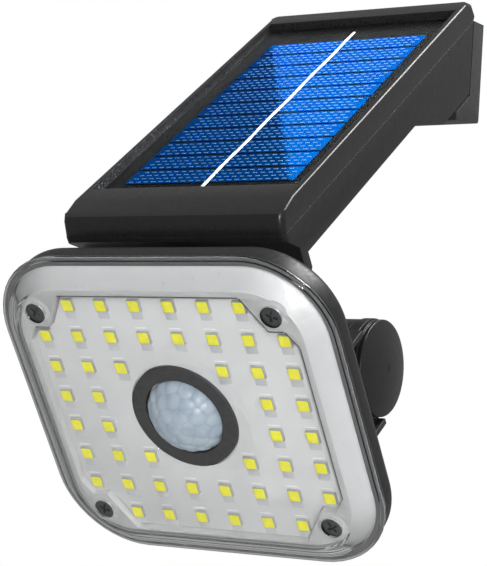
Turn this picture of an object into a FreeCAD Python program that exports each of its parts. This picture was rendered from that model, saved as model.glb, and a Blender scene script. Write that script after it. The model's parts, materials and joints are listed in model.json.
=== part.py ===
"""Solar flood light: a tilting 48-LED lamp head with motion sensor, hinged under a
solar panel housing that sits on a wall bracket.

Most pieces are drawn in the panel frame: x across, y up the slope of the panel towards
the wall, z square to the panel, with its origin at the middle of the LED grid. One
placement then tilts and shifts them into the frame of the part, whose origin is the
middle of the bracket's wall face, with +Y into the wall and +Z up.
"""
import FreeCAD
import Part
import Sketcher
import math
import os
import re

DIMENSIONS = {
    # Stance
    "panel_tilt": 37.3,          # slope of the panel, degrees
    "wall_y": 96.5,              # LED grid to wall, level
    "wall_z": 107.0,             # LED grid to bracket middle, upright
    # LED grid
    "led_pitch": 10.0,
    "led_row_pitch": 9.11,
    "led_size": 3.5,
    "led_window": 3.0,
    "led_height": 0.75,
    "window_height": 0.06,
    # LED board and the white tray round it
    "board_half": 39.0,
    "board_top": 34.9,
    "board_bottom": 36.1,
    "board_bevel": 21.7,
    "board_step": 25.75,
    "board_step_out": 36.2,
    "board_step_in": 31.9,
    "board_slant": 1.614,        # rise over run of the long bevels beside the screws
    "board_thick": 1.2,
    "board_gap": 0.2,
    "tray_width": 91.4,
    "tray_height": 83.0,
    "tray_corner": 18.6,
    "tray_run": 4.7,
    "tray_lip": 0.1,
    "tray_front": -1.2,
    "tray_back": 3.2,
    # Clear cover
    "cover_width": 97.4,
    "cover_height": 89.4,
    "cover_corner": 22.0,
    "dome_width": 93.0,
    "dome_height": 84.3,
    "dome_corner": 16.5,
    "dome_run": 4.6,
    "dome_rise": 2.8,
    "cover_front": 2.4,
    "flange_front": 1.4,
    "flange_back": 2.4,
    "cover_skin": 1.0,
    "inner_back_width": 92.0,
    "inner_back_height": 83.6,
    "inner_back_corner": 16.0,
    "inner_front_width": 82.8,
    "inner_front_height": 75.2,
    "inner_front_corner": 12.0,
    # Cover screws
    "screw_x": 34.3,
    "screw_z": 30.5,
    "screw_head_radius": 3.0,
    "screw_recess_radius": 3.3,
    "screw_shank_radius": 1.4,
    "screw_hole_radius": 1.7,
    "screw_seat": 0.1,
    "screw_head_height": 1.4,
    "screw_length": 8.0,
    "post_radius": 3.8,
    "post_back": 0.9,
    "post_gap": 0.15,
    # Motion sensor
    "sensor_hole_radius": 15.1,
    "funnel_run": 2.6,
    "funnel_deep": 1.1,
    "funnel_collar": 16.6,
    "funnel_back": 0.3,
    "ring_outer_radius": 14.8,
    "ring_inner_radius": 10.95,
    "ring_front": 1.2,
    "ring_round": 0.4,
    "lens_sink": 0.6,
    "lens_radius": 10.8,
    "lens_height": 6.4,
    "lens_skin": 0.7,
    "sensor_radius": 4.6,
    "sensor_height": 4.0,
    "sensor_brim": 0.5,
    # Lamp back housing
    "gasket_back": 2.9,
    "gasket_wide": 2.0,
    "back_width": 96.0,
    "back_height": 88.0,
    "back_corner": 21.0,
    "back_depth": 10.4,
    "back_wall": 2.0,
    "back_round": 4.0,
    "boss_radius": 3.6,
    "boss_pilot": 1.45,
    # Hinge
    "hinge_y": 48.5,
    "hinge_z": -16.1,
    "barrel_radius": 13.0,
    "barrel_half": 23.8,
    "lug_inner": 24.6,
    "lug_outer": 27.4,
    "lug_radius": 13.3,
    "rim_outer": 29.6,
    "rim_thick": 1.3,
    "rim_bite": 0.4,
    "rim_end": 44.0,
    "bolt_radius": 2.0,
    "bolt_bore": 2.07,
    "bolt_head_radius": 3.8,
    "bolt_end": 2.0,
    "nut_radius": 3.9,
    "washer_radius": 10.0,
    "washer_play": 0.05,
    "cap_rim": 30.0,
    "cap_crown": 31.8,
    "cap_skin": 1.6,
    "cap_step": 0.5,
    # Panel housing, side profile
    "shell_half": 32.4,
    "shell_wall": 2.0,
    "part_line": 42.3,
    "shell_front": 15.5,
    "shell_nose": 41.0,
    "chamfer_end": 24.2,
    "shell_floor": 33.2,
    "floor_end": 94.1,
    "foot_start": 110.7,
    "foot_floor": 25.4,
    "back_gap": 7.6,
    "back_skin": 2.5,
    "plan_round": 1.8,
    # Neck between the panel housing and the hinge
    "neck_front": 20.9,
    "neck_taper": 29.0,
    "neck_narrow": 22.0,
    "neck_bend": 12.0,
    "neck_end": 4.0,
    "neck_root": 37.1,
    "neck_rear": 41.0,
    "neck_under": 38.0,
    # Panel frame
    "frame_top": 48.65,
    "brow_run": 1.2,
    "shoulder_run": 1.9,
    "tail_run": 3.2,
    "tail_step": 0.9,
    "tail_bevel": 0.4,
    "corner_edge": 6.4,          # edges shorter than this are upright corners
    "corner_reach": 2.0,
    "frame_shoulder": 47.35,
    "frame_brow": 46.45,
    "frame_gap": 0.15,
    "frame_rear": 147.1,
    "panel_half": 30.7,
    "panel_front": 30.4,
    "panel_rear": 138.0,
    "panel_face": 47.2,
    "ledge_top": 44.8,
    "ledge_half": 27.6,
    "ledge_deep": 3.0,
    # Solar panel
    "panel_play": 0.3,
    "tape_thick": 0.3,
    "backing_thick": 0.9,
    "cell_thick": 0.2,
    "busbar_thick": 0.1,
    "busbar_over": 3.5,
    "cell_left": 25.2,
    "cell_right": 25.5,
    "cell_start": 36.9,
    "cell_pitch": 8.168,
    "cell_gap": 0.28,
    "busbar_half": 0.8,
    # Electronics
    "circuit_low": 38.4,
    "circuit_thick": 1.2,
    "circuit_half": 24.0,
    "circuit_front": 36.0,
    "circuit_long": 54.0,
    "post_x": 20.0,
    "post_front": 40.0,
    "post_rear": 86.0,
    "post_thick": 2.2,
    "post_pilot": 0.85,
    "chip_wide": 6.0,
    "chip_long": 9.0,
    "chip_high": 1.6,
    "coil_radius": 3.2,
    "coil_high": 3.4,
    "coil_in": 2.0,
    "capacitor_radius": 2.0,
    "capacitor_high": 3.6,
    "battery_radius": 7.1,
    "battery_half": 25.0,
    "battery_y": 116.0,
    "battery_z": 35.0,
    "terminal_radius": 2.6,
    "terminal_out": 1.0,
    "tab_thick": 0.25,
    "tab_wide": 4.0,
    "tab_high": 9.0,
    "lead_radius": 0.6,
    "lead_bend": 4.0,
    "lead_set": 2.0,
    # Mode button
    "button_x": 12.0,
    "button_y": 70.0,
    "button_radius": 4.5,
    "button_out": 1.0,
    "button_play": 0.25,
    "button_collar": 0.9,
    "collar_thick": 0.5,
    "collar_gap": 0.02,
    "switch_side": 6.0,
    "switch_high": 1.6,
    "stem_radius": 1.6,
    "stem_high": 0.4,
    # Shell screws
    "joint_screw_x": 27.6,
    "joint_screw_front": 27.6,
    "joint_screw_rear": 90.0,
    "joint_boss": 2.7,
    "joint_boss_high": 4.2,
    "joint_split": 5.6,
    "joint_way": 1.35,
    "joint_sink": 2.3,
    "joint_seat": 1.3,
    "joint_pilot": 1.05,
    # Wall bracket
    "plate_thick": 6.9,
    "plate_half": 14.7,
    "plate_round": 1.2,
    "plate_step": 0.4,
    "block_front": 15.5,
    "block_drop": 2.0,
    "fit_gap": 0.9,
    "tongue_half": 9.5,
    "tongue_deep": 4.6,
    "tongue_play": 0.3,
    "tongue_low": -4.0,
    "tongue_high": 6.0,
    "wall_hole_x": 20.0,
    "wall_hole_radius": 2.25,
    "wall_hole_sink": 4.2,
    "lock_y": 128.0,
    "lock_boss": 3.0,
    "lock_boss_high": 5.0,
    "lock_pilot": 1.3,
    "lock_way": 1.6,
    "lock_seat": 4.9,
    # How far a cut runs on past the face it leaves through
    "overrun": 1.0,
}

LED_COLUMNS = 8
LED_ROWS = 8
CELL_COUNT = 11
MIRROR = (-1, 1)

# LEDs are left out where their steps from the middle, across plus along, pass CORNER_STEPS
# or fall short of SENSOR_STEPS.
CORNER_STEPS = 6.5
SENSOR_STEPS = 2.5

# Where the panel's two leads run, across.
PANEL_LEADS = (1.0, 3.5)

# Middle of each capacitor on the control board: across, up the slope.
CAPACITOR_SPOTS = ((-2, 48), (2, 76), (-14, 74))

# Cross recess of a screw, as fractions of the head's radius and height.
RECESS_LENGTH = 1.2
RECESS_WIDTH = 0.24
RECESS_DEPTH = 0.5

# Smaller screws: head radius, head height, shank radius, length under the head.
HOUSING_SCREW = (2.1, 1.2, 1.0, 9.2)
BOARD_SCREW = (1.8, 1.1, 0.8, 4.2)
LOCK_SCREW = (2.7, 1.4, 1.2, 9.6)
TOLERANCE = 1e-4

doc = FreeCAD.newDocument("solar_flood_light")
sheet = doc.addObject("Spreadsheet::Sheet", "dim")
for row, (alias, value) in enumerate(DIMENSIONS.items(), start=1):
    sheet.set("A%d" % row, alias.replace("_", " "))
    sheet.set("B%d" % row, str(value))
    sheet.setAlias("B%d" % row, alias)
doc.recompute()


def size(alias):
    """A driving dimension, read back from the sheet."""
    return float(getattr(sheet, alias))


def value_of(expression):
    """The number that a sheet expression gives."""
    result = sheet.evalExpression(expression)
    return float(getattr(result, "Value", result))


def named(text):
    """Give sheet names their sheet, so that 'a + b' reads 'dim.a + dim.b'."""
    def with_sheet(word):
        return "dim." + word.group() if word.group() in DIMENSIONS else word.group()
    return re.sub(r"[a-z_]+", with_sheet, text)


TILT = FreeCAD.Rotation(FreeCAD.Vector(1, 0, 0), size("panel_tilt"))
PANEL_FRAME = FreeCAD.Placement(
    FreeCAD.Vector(0, -size("wall_y"), -size("wall_z")), TILT)
subparts = []


# ---------------------------------------------------------------- drawing helpers

def start_body(name):
    """A body in the panel frame, which becomes the node of that name."""
    body = doc.addObject("PartDesign::Body", name)
    body.Label = name
    body.Placement = PANEL_FRAME
    subparts.append(body)
    return body


def sketch_on(body, name, role, offset="0"):
    """A sketch on one of the body's origin planes, moved along the plane's normal."""
    plane = [item for item in body.Origin.OriginFeatures if item.Role == role][0]
    sketch = body.newObject("Sketcher::SketchObject", name)
    sketch.AttachmentSupport = [(plane, "")]
    sketch.MapMode = "FlatFace"
    sketch.setExpression("AttachmentOffset.Base.z", named(offset))
    return sketch


def bind(sketch, index, name, expression):
    """Name a sketch constraint and drive it from the sheet."""
    sketch.renameConstraint(index, name)
    sketch.setExpression("Constraints." + name, named(expression))


def pin_point(sketch, geometry, corner, label, across, along):
    """Hold one point of a sketch at two signed distances from the sketch's origin."""
    for kind, axis, expression in (("DistanceX", "x", across), ("DistanceY", "y", along)):
        distance = value_of(named(expression))
        index = sketch.addConstraint(
            Sketcher.Constraint(kind, -1, 1, geometry, corner, distance))
        bind(sketch, index, label + axis, expression)


def polygon(body, name, role, points, offset="0"):
    """A closed outline of straight runs through points given as sheet expressions."""
    sketch = sketch_on(body, name, role, offset)
    spots = [FreeCAD.Vector(value_of(named(u)), value_of(named(v)), 0) for u, v in points]
    for start, end in zip(spots, spots[1:] + spots[:1]):
        sketch.addGeometry(Part.LineSegment(start, end))
    count = len(spots)
    for index in range(count):
        sketch.addConstraint(Sketcher.Constraint("Coincident", index, 2, (index + 1) % count, 1))
    for index, (across, along) in enumerate(points):
        pin_point(sketch, index, 1, "p%d" % index, across, along)
    return sketch


def circle(body, name, role, centre, radius, offset="0"):
    """A circle sketch whose centre and radius come from the sheet."""
    sketch = sketch_on(body, name, role, offset)
    middle = FreeCAD.Vector(value_of(named(centre[0])), value_of(named(centre[1])), 0)
    sketch.addGeometry(Part.Circle(middle, FreeCAD.Vector(0, 0, 1), value_of(named(radius))))
    index = sketch.addConstraint(Sketcher.Constraint("Radius", 0, value_of(named(radius))))
    bind(sketch, index, "radius", radius)
    pin_point(sketch, 0, 3, "centre", centre[0], centre[1])
    return sketch


def rounded_rectangle(body, name, role, width, height, corner, offset="0", centre=("0", "0")):
    """A rounded rectangle sketch: straight sides tangent to four corner arcs."""
    sketch = sketch_on(body, name, role, offset)
    half_w = value_of(named(width)) / 2
    half_h = value_of(named(height)) / 2
    radius = value_of(named(corner))
    middle = FreeCAD.Vector(value_of(named(centre[0])), value_of(named(centre[1])), 0)
    quarter = math.pi / 2
    for turn, (side, rise) in enumerate(((1, 1), (-1, 1), (-1, -1), (1, -1))):
        hub = middle + FreeCAD.Vector(side * (half_w - radius), rise * (half_h - radius), 0)
        ring = Part.Circle(hub, FreeCAD.Vector(0, 0, 1), radius)
        sketch.addGeometry(Part.ArcOfCircle(ring, turn * quarter, (turn + 1) * quarter))
    for turn in range(4):
        start = sketch.Geometry[turn].EndPoint
        end = sketch.Geometry[(turn + 1) % 4].StartPoint
        sketch.addGeometry(Part.LineSegment(start, end))
    for turn in range(4):
        sketch.addConstraint(Sketcher.Constraint("Tangent", turn, 2, 4 + turn, 1))
        sketch.addConstraint(Sketcher.Constraint("Tangent", 4 + turn, 2, (turn + 1) % 4, 1))
    for turn in range(4):
        sketch.addConstraint(Sketcher.Constraint("Horizontal" if turn % 2 == 0 else "Vertical", 4 + turn))
    for turn in range(3):
        sketch.addConstraint(Sketcher.Constraint("Equal", turn, turn + 1))
    index = sketch.addConstraint(Sketcher.Constraint("Radius", 0, radius))
    bind(sketch, index, "corner", corner)
    pin_point(sketch, 0, 3, "hub", "(%s) + (%s) / 2 - (%s)" % (centre[0], width, corner),
              "(%s) + (%s) / 2 - (%s)" % (centre[1], height, corner))
    index = sketch.addConstraint(Sketcher.Constraint("DistanceX", 1, 3, 0, 3, 2 * (half_w - radius)))
    bind(sketch, index, "across", "(%s) - 2 * (%s)" % (width, corner))
    index = sketch.addConstraint(Sketcher.Constraint("DistanceY", 3, 3, 0, 3, 2 * (half_h - radius)))
    bind(sketch, index, "along", "(%s) - 2 * (%s)" % (height, corner))
    return sketch


def grow(body, sketch, length, both_ways=False, backwards=False, kind="Pad"):
    """Pad a sketch, or pocket it, by a length from the sheet."""
    feature = body.newObject("PartDesign::" + kind, sketch.Name + "_" + kind.lower())
    feature.Profile = sketch
    if both_ways:
        feature.Midplane = True
    feature.Reversed = backwards
    feature.setExpression("Length", named(length))
    before = body.Shape.Volume if kind == "Pocket" else None
    doc.recompute()
    if before is not None and body.Shape.Volume > before - 1e-6:
        raise ValueError("%s cuts nothing" % feature.Name)
    return feature


def cut(body, sketch, length, both_ways=False, backwards=False):
    """Pocket a sketch out of the body."""
    return grow(body, sketch, length, both_ways, backwards, "Pocket")


def spun(body, sketch):
    """Turn a profile all the way round the sketch's vertical axis."""
    feature = body.newObject("PartDesign::Revolution", sketch.Name + "_turned")
    feature.Profile = sketch
    feature.ReferenceAxis = (sketch, ["V_Axis"])
    feature.Angle = 360
    doc.recompute()
    return feature


def edges_where(feature, test):
    """Names of a feature's edges whose middle point passes the test."""
    names = []
    for number, edge in enumerate(feature.Shape.Edges, start=1):
        spot = edge.valueAt((edge.FirstParameter + edge.LastParameter) / 2)
        if test(edge, spot):
            names.append("Edge%d" % number)
    return names


def rounded(body, feature, names, radius):
    """Fillet the named edges of the feature."""
    fillet = body.newObject("PartDesign::Fillet", feature.Name + "_round")
    fillet.Base = (feature, names)
    fillet.setExpression("Radius", named(radius))
    doc.recompute()
    return fillet


def bevelled(body, feature, front, rise, run):
    """Slope the sides of a feature back from its front face, over unequal distances."""
    names = edges_where(feature, lambda edge, spot: abs(spot.y - front) < TOLERANCE)
    return sloped(body, feature, names, rise, run)


def sloped(body, feature, names, rise, run):
    """Chamfer the named edges of the feature over two unequal distances."""
    chamfer = body.newObject("PartDesign::Chamfer", feature.Name + "_bevel")
    chamfer.Base = (feature, names)
    chamfer.ChamferType = "Two distances"
    chamfer.setExpression("Size", named(rise))
    chamfer.setExpression("Size2", named(run))
    doc.recompute()
    return chamfer


def primitive(kind, name, bindings, centre=("0", "0", "0"), axis=None):
    """A Part primitive in the panel frame with sizes and centre from the sheet."""
    item = doc.addObject("Part::" + kind, name)
    for key, expression in bindings.items():
        item.setExpression(key, named(expression))
    for key, expression in zip("xyz", centre):
        item.setExpression("Placement.Base." + key, named(expression))
    if axis:
        item.Placement.Rotation = FreeCAD.Rotation(FreeCAD.Vector(0, 0, 1), FreeCAD.Vector(*axis))
    return item


def rod(name, radius, length, start, axis):
    """A cylinder that starts at a point and runs along an axis."""
    return primitive("Cylinder", name, {"Radius": radius, "Height": length}, start, axis)


def slab(name, lengths, corner):
    """A box from its low corner."""
    keys = ("Length", "Width", "Height")
    return primitive("Box", name, dict(zip(keys, lengths)), corner)


def joined(name, items, kind="MultiFuse"):
    """Several primitives as one solid."""
    result = doc.addObject("Part::" + kind, name)
    result.Shapes = items
    return result


def less(name, base, tools):
    """A base with tools cut away."""
    result = doc.addObject("Part::Cut", name)
    result.Base = base
    result.Tool = tools[0] if len(tools) == 1 else joined(name + "_tools", tools)
    return result


def placed(item, placement):
    """An object moved by a placement; one whose own place is bound gets a holder."""
    if item.ExpressionEngine:
        holder = doc.addObject("Part::Compound", item.Name + "_holder")
        holder.Links = [item]
        item = holder
    item.Placement = placement.multiply(item.Placement)
    return item


def keep(item, name, placement=PANEL_FRAME):
    """Make an object a node of the part."""
    item = placed(item, placement)
    item.Label = name
    subparts.append(item)


def group(name, solids, placement=PANEL_FRAME):
    """Separate solids that share a node."""
    item = doc.addObject("Part::Feature", name)
    item.Label = name
    item.Shape = Part.makeCompound(solids)
    item.Placement = placement
    subparts.append(item)


def vector(x, y, z):
    """Short for a FreeCAD vector."""
    return FreeCAD.Vector(x, y, z)


def corners_of_head():
    """The four cover screws: a tag for names, and the middle as sheet expressions."""
    for side in MIRROR:
        for rise in MIRROR:
            tag = "%s%s" % ("rl"[side < 0], "tb"[rise < 0])
            yield tag, ("%d * screw_x" % side, "%d * screw_z" % rise)


def joint_spots():
    """The four housing screws: a tag for names, and the middle as sheet expressions."""
    for side in MIRROR:
        for place in ("front", "rear"):
            yield ("%s_%s" % (place, "rl"[side < 0]),
                   ("%d * joint_screw_x" % side, "joint_screw_" + place))


def post_spots():
    """The control board's four posts: a tag for names, and the middle."""
    for side in MIRROR:
        for place in ("front", "rear"):
            yield "%s_%s" % (place, "rl"[side < 0]), ("%d * post_x" % side, "post_" + place)


def middle_of(spot, height):
    """A spot's two expressions and a height, as a point."""
    return vector(value_of(named(spot[0])), value_of(named(spot[1])), height)


# ---------------------------------------------------------------- lamp head

def make_cover():
    """Clear cover: flange, rounded front pan, screw posts and a hole for the sensor."""
    body = start_body("lamp_cover")
    flange = rounded_rectangle(body, "cover_flange", "XZ_Plane", "cover_width", "cover_height",
                               "cover_corner", "0 - flange_back")
    grow(body, flange, "flange_back - flange_front")
    pan = rounded_rectangle(body, "cover_pan", "XZ_Plane", "dome_width", "dome_height",
                            "dome_corner", "0 - flange_front")
    pad = grow(body, pan, "flange_front + cover_front")
    bevelled(body, pad, -size("cover_front"), "dome_rise", "dome_run")
    mouth = rounded_rectangle(body, "hollow_back", "XZ_Plane", "inner_back_width",
                              "inner_back_height", "inner_back_corner", "0 - flange_back")
    roof = rounded_rectangle(body, "hollow_front", "XZ_Plane", "inner_front_width",
                             "inner_front_height", "inner_front_corner",
                             "cover_front - cover_skin")
    hollow = body.newObject("PartDesign::SubtractiveLoft", "cover_hollow")
    hollow.Profile = mouth
    hollow.Sections = [roof]
    hollow.Ruled = True
    doc.recompute()
    for tag, spot in corners_of_head():
        post = circle(body, "post_" + tag, "XZ_Plane", spot, "post_radius", "0 - post_back")
        grow(body, post, "post_back + cover_front - cover_skin / 2")
        recess = circle(body, "recess_" + tag, "XZ_Plane", spot, "screw_recess_radius",
                        "screw_seat")
        cut(body, recess, "cover_front", backwards=True)
        hole = circle(body, "hole_" + tag, "XZ_Plane", spot, "screw_hole_radius",
                      "0 - flange_back")
        cut(body, hole, "flange_back + cover_front", backwards=True)
    collar = circle(body, "sensor_collar", "XZ_Plane", ("0", "0"), "funnel_collar",
                    "0 - funnel_back")
    grow(body, collar, "funnel_back + cover_front - cover_skin / 2")
    opening = circle(body, "sensor_hole", "XZ_Plane", ("0", "0"), "sensor_hole_radius",
                     "0 - flange_back")
    hole = cut(body, opening, "flange_back + cover_front", backwards=True)
    mouth = edges_where(hole, lambda edge, spot: abs(spot.y + size("cover_front")) < TOLERANCE
                        and abs(math.hypot(spot.x, spot.z) - size("sensor_hole_radius"))
                        < TOLERANCE)
    sloped(body, hole, mouth, "funnel_deep", "funnel_run")


def make_back_housing():
    """Dark tray behind the board, with screw bosses and the two hinge lugs."""
    body = start_body("lamp_back_housing")
    outline = rounded_rectangle(body, "back_outline", "XZ_Plane", "back_width", "back_height",
                                "back_corner", "0 - back_depth")
    pad = grow(body, outline, "back_depth - gasket_back")
    rear = size("back_depth")
    rounded(body, pad, edges_where(pad, lambda edge, spot: abs(spot.y - rear) < TOLERANCE),
            "back_round")
    hollow = rounded_rectangle(body, "back_hollow", "XZ_Plane", "back_width - 2 * back_wall",
                               "back_height - 2 * back_wall", "back_corner - back_wall",
                               "0 - gasket_back")
    cut(body, hollow, "back_depth - gasket_back - back_wall")
    for tag, spot in corners_of_head():
        boss = circle(body, "boss_" + tag, "XZ_Plane", spot, "boss_radius",
                      "0 - back_depth + back_wall / 2")
        grow(body, boss, "back_depth - back_wall / 2 - tray_back")
        pilot = circle(body, "pilot_" + tag, "XZ_Plane", spot, "boss_pilot", "0 - tray_back")
        cut(body, pilot, "back_depth - tray_back - back_wall")
    for side in MIRROR:
        tag = "rl"[side < 0]
        web = sketch_on(body, "web_" + tag, "YZ_Plane", "%d * lug_inner" % side)
        draw_lug(web)
        grow(body, web, "lug_outer - lug_inner", backwards=side < 0)
        for rise in MIRROR:
            rim = polygon(body, "rim_%s%s" % (tag, "tb"[rise < 0]), "YZ_Plane", (
                ("back_depth - back_wall / 2", "hinge_z + %d * (lug_radius - rim_bite)" % rise),
                ("rim_end", "hinge_z + %d * (lug_radius - rim_bite)" % rise),
                ("rim_end", "hinge_z + %d * (lug_radius + rim_thick)" % rise),
                ("back_depth - back_wall / 2", "hinge_z + %d * (lug_radius + rim_thick)" % rise),
            ), "%d * lug_inner" % side)
            grow(body, rim, "rim_outer - lug_inner", backwards=side < 0)
    bore = circle(body, "bolt_bore", "YZ_Plane", ("hinge_y", "hinge_z"), "bolt_bore")
    cut(body, bore, "3 * rim_outer", both_ways=True)


def draw_lug(sketch):
    """Side view of a hinge lug: two straight edges and a round end about the hinge axis."""
    root = size("back_depth") - size("back_wall") / 2
    hub = vector(size("hinge_y"), size("hinge_z"), 0)
    reach = vector(0, size("lug_radius"), 0)
    low = vector(root, hub.y - reach.y, 0)
    high = vector(root, hub.y + reach.y, 0)
    ring = Part.Circle(hub, vector(0, 0, 1), reach.y)
    sketch.addGeometry(Part.ArcOfCircle(ring, -math.pi / 2, math.pi / 2))
    sketch.addGeometry(Part.LineSegment(hub + reach, high))
    sketch.addGeometry(Part.LineSegment(high, low))
    sketch.addGeometry(Part.LineSegment(low, hub - reach))
    sketch.addConstraint(Sketcher.Constraint("Tangent", 0, 2, 1, 1))
    sketch.addConstraint(Sketcher.Constraint("Coincident", 1, 2, 2, 1))
    sketch.addConstraint(Sketcher.Constraint("Coincident", 2, 2, 3, 1))
    sketch.addConstraint(Sketcher.Constraint("Tangent", 3, 2, 0, 1))
    sketch.addConstraint(Sketcher.Constraint("Vertical", 2))
    index = sketch.addConstraint(Sketcher.Constraint("Radius", 0, reach.y))
    bind(sketch, index, "end", "lug_radius")
    pin_point(sketch, 0, 3, "hub", "hinge_y", "hinge_z")
    index = sketch.addConstraint(Sketcher.Constraint("DistanceX", -1, 1, 2, 1, root))
    bind(sketch, index, "root", "back_depth - back_wall / 2")


def make_gasket():
    """Silicone ring between the cover's flange and the back housing's rim."""
    body = start_body("cover_gasket")
    outer = rounded_rectangle(body, "gasket_outer", "XZ_Plane", "back_width", "back_height",
                              "back_corner", "0 - gasket_back")
    grow(body, outer, "gasket_back - flange_back")
    inner = rounded_rectangle(body, "gasket_inner", "XZ_Plane", "back_width - 2 * gasket_wide",
                              "back_height - 2 * gasket_wide", "back_corner - gasket_wide",
                              "0 - gasket_back")
    cut(body, inner, "gasket_back", backwards=True)


def board_outline(clearance):
    """The LED board's outline, with a step and two bevels at each cover screw."""
    corners = []
    for side, rise in ((1, 1), (-1, 1), (-1, -1), (1, -1)):
        edge = "board_top" if rise > 0 else "board_bottom"
        corner = [("board_half", "board_bevel"),
                  ("board_step_out", "board_step"),
                  ("board_step_in", "board_step"),
                  ("board_step_in - (%s - board_step) / board_slant" % edge, edge)]
        if side != rise:
            corner.reverse()
        for across, along in corner:
            corners.append(("%d * (%s + %s)" % (side, across, clearance),
                            "%d * (%s + %s)" % (rise, along, clearance)))
    return corners


def make_tray():
    """White tray that fills the head round the LED board and carries it."""
    body = start_body("reflector_tray")
    outer = rounded_rectangle(body, "tray_outline", "XZ_Plane", "tray_width", "tray_height",
                              "tray_corner", "0 - tray_back")
    pad = grow(body, outer, "tray_back - tray_front")
    bevelled(body, pad, size("tray_front"), "tray_back - tray_front - tray_lip", "tray_run")
    seat = polygon(body, "tray_seat", "XZ_Plane", board_outline("board_gap"),
                   "0 - led_height - board_thick")
    cut(body, seat, "board_thick + led_height + cover_front", backwards=True)
    for tag, spot in corners_of_head():
        hole = circle(body, "tray_hole_" + tag, "XZ_Plane", spot, "screw_hole_radius",
                      "0 - tray_back")
        cut(body, hole, "tray_back", backwards=True)
        pocket = circle(body, "tray_pocket_" + tag, "XZ_Plane", spot, "post_radius + post_gap",
                        "0 - post_back - post_gap")
        cut(body, pocket, "post_back + cover_front", backwards=True)
    opening = circle(body, "tray_opening", "XZ_Plane", ("0", "0"), "ring_outer_radius",
                     "0 - tray_back")
    cut(body, opening, "tray_back", backwards=True)


def make_board():
    """White LED board with its corners stepped in round the cover screws."""
    body = start_body("led_board")
    outline = polygon(body, "board_outline", "XZ_Plane", board_outline("0"),
                      "0 - led_height - board_thick")
    grow(body, outline, "board_thick")


def led_spots():
    """Middle of each LED: the full grid less the corners and the sensor's square."""
    middle_column = (LED_COLUMNS - 1) / 2
    middle_row = (LED_ROWS - 1) / 2
    for row in range(LED_ROWS):
        for column in range(LED_COLUMNS):
            across = abs(column - middle_column)
            along = abs(row - middle_row)
            if SENSOR_STEPS <= across + along <= CORNER_STEPS:
                yield ((column - middle_column) * size("led_pitch"),
                       (middle_row - row) * size("led_row_pitch"))


def make_leds():
    """The LED packages and the phosphor window on the face of each."""
    wide = size("led_size")
    tall = size("led_height") - size("window_height")
    window = size("led_window")
    packages = []
    windows = []
    for x, z in led_spots():
        corner = vector(x - wide / 2, size("window_height"), z - wide / 2)
        packages.append(Part.makeBox(wide, tall, wide, corner))
        corner = vector(x - window / 2, 0, z - window / 2)
        windows.append(Part.makeBox(window, size("window_height"), window, corner))
    group("led_packages", packages)
    group("led_phosphor", windows)


def make_sensor():
    """Motion sensor can, its dark ring and the faceted lens dome."""
    base = "led_height"
    can = rod("sensor_can", "sensor_radius", "sensor_height", ("0", base, "0"), (0, -1, 0))
    brim = rod("sensor_brim_disc", "sensor_radius + sensor_brim", "sensor_brim",
               ("0", base, "0"), (0, -1, 0))
    keep(joined("sensor_shape", [can, brim]), "motion_sensor")
    ring = start_body("sensor_ring")
    outer = circle(ring, "ring_outline", "XZ_Plane", ("0", "0"), "ring_outer_radius",
                   "0 - led_height")
    pad = grow(ring, outer, "led_height + ring_front")
    front = -size("ring_front")
    rim = edges_where(pad, lambda edge, spot: abs(spot.y - front) < TOLERANCE)
    rounded(ring, pad, rim, "ring_round")
    inner = circle(ring, "ring_opening", "XZ_Plane", ("0", "0"), "ring_inner_radius",
                   "0 - led_height")
    cut(ring, inner, "led_height + ring_front + overrun", backwards=True)
    make_lens()


def make_lens():
    """Lens dome: a thin spherical cap on a short collar, turned about the lamp's axis."""
    body = start_body("sensor_lens")
    sketch = sketch_on(body, "lens_profile", "XY_Plane")
    radius = size("lens_radius")
    skin = size("lens_skin")
    rise = size("lens_height")
    front = size("ring_front") - size("lens_sink")
    base = size("led_height")

    def cap_arc(reach, height):
        """The circle through a cap's crown and its rim."""
        bend = (reach * reach + height * height) / (2 * height)
        hub = vector(0, -front - height + bend, 0)
        circle_of = Part.Circle(hub, vector(0, 0, 1), bend)
        return Part.ArcOfCircle(circle_of, -math.pi / 2, math.atan2(-front - hub.y, reach))

    outer = cap_arc(radius, rise)
    inner = cap_arc(radius - skin, rise - skin)
    corners = (outer.EndPoint, vector(radius, base, 0), vector(radius - skin, base, 0),
               inner.EndPoint)
    sketch.addGeometry(outer)
    for start, end in zip(corners, corners[1:]):
        sketch.addGeometry(Part.LineSegment(start, end))
    sketch.addGeometry(inner)
    sketch.addGeometry(Part.LineSegment(inner.StartPoint, outer.StartPoint))
    spun(body, sketch)


def make_cover_screws():
    """Pan-head screws with a cross recess, through the cover into the back housing."""
    build = (size("screw_head_radius"), size("screw_head_height"),
             size("screw_shank_radius"), size("screw_length"))
    solids = []
    for _, (across, along) in corners_of_head():
        spot = vector(value_of(named(across)), -size("screw_seat"), value_of(named(along)))
        solids.append(pan_screw(spot, vector(0, 1, 0), build))
    group("cover_screws", solids)


def pan_screw(spot, drive, build):
    """A screw whose head sits at a spot and whose shank runs along its drive direction."""
    head_radius, head_height, shank_radius, length = build
    head = Part.makeCylinder(head_radius, head_height, spot, drive * -1)
    screw = head.fuse(Part.makeCylinder(shank_radius, length, spot, drive))
    top = spot - drive * head_height
    across = drive.cross(vector(1, 0, 0))
    long = head_radius * RECESS_LENGTH
    wide = head_radius * RECESS_WIDTH
    for blade in (across, drive.cross(across)):
        other = drive.cross(blade)
        corner = top - blade * (long / 2) - other * (wide / 2)
        outline = [corner, corner + blade * long, corner + blade * long + other * wide,
                   corner + other * wide, corner]
        slot = Part.Face(Part.makePolygon(outline)).extrude(drive * (head_height * RECESS_DEPTH))
        screw = screw.cut(slot)
    return screw


# ---------------------------------------------------------------- hinge

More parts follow.
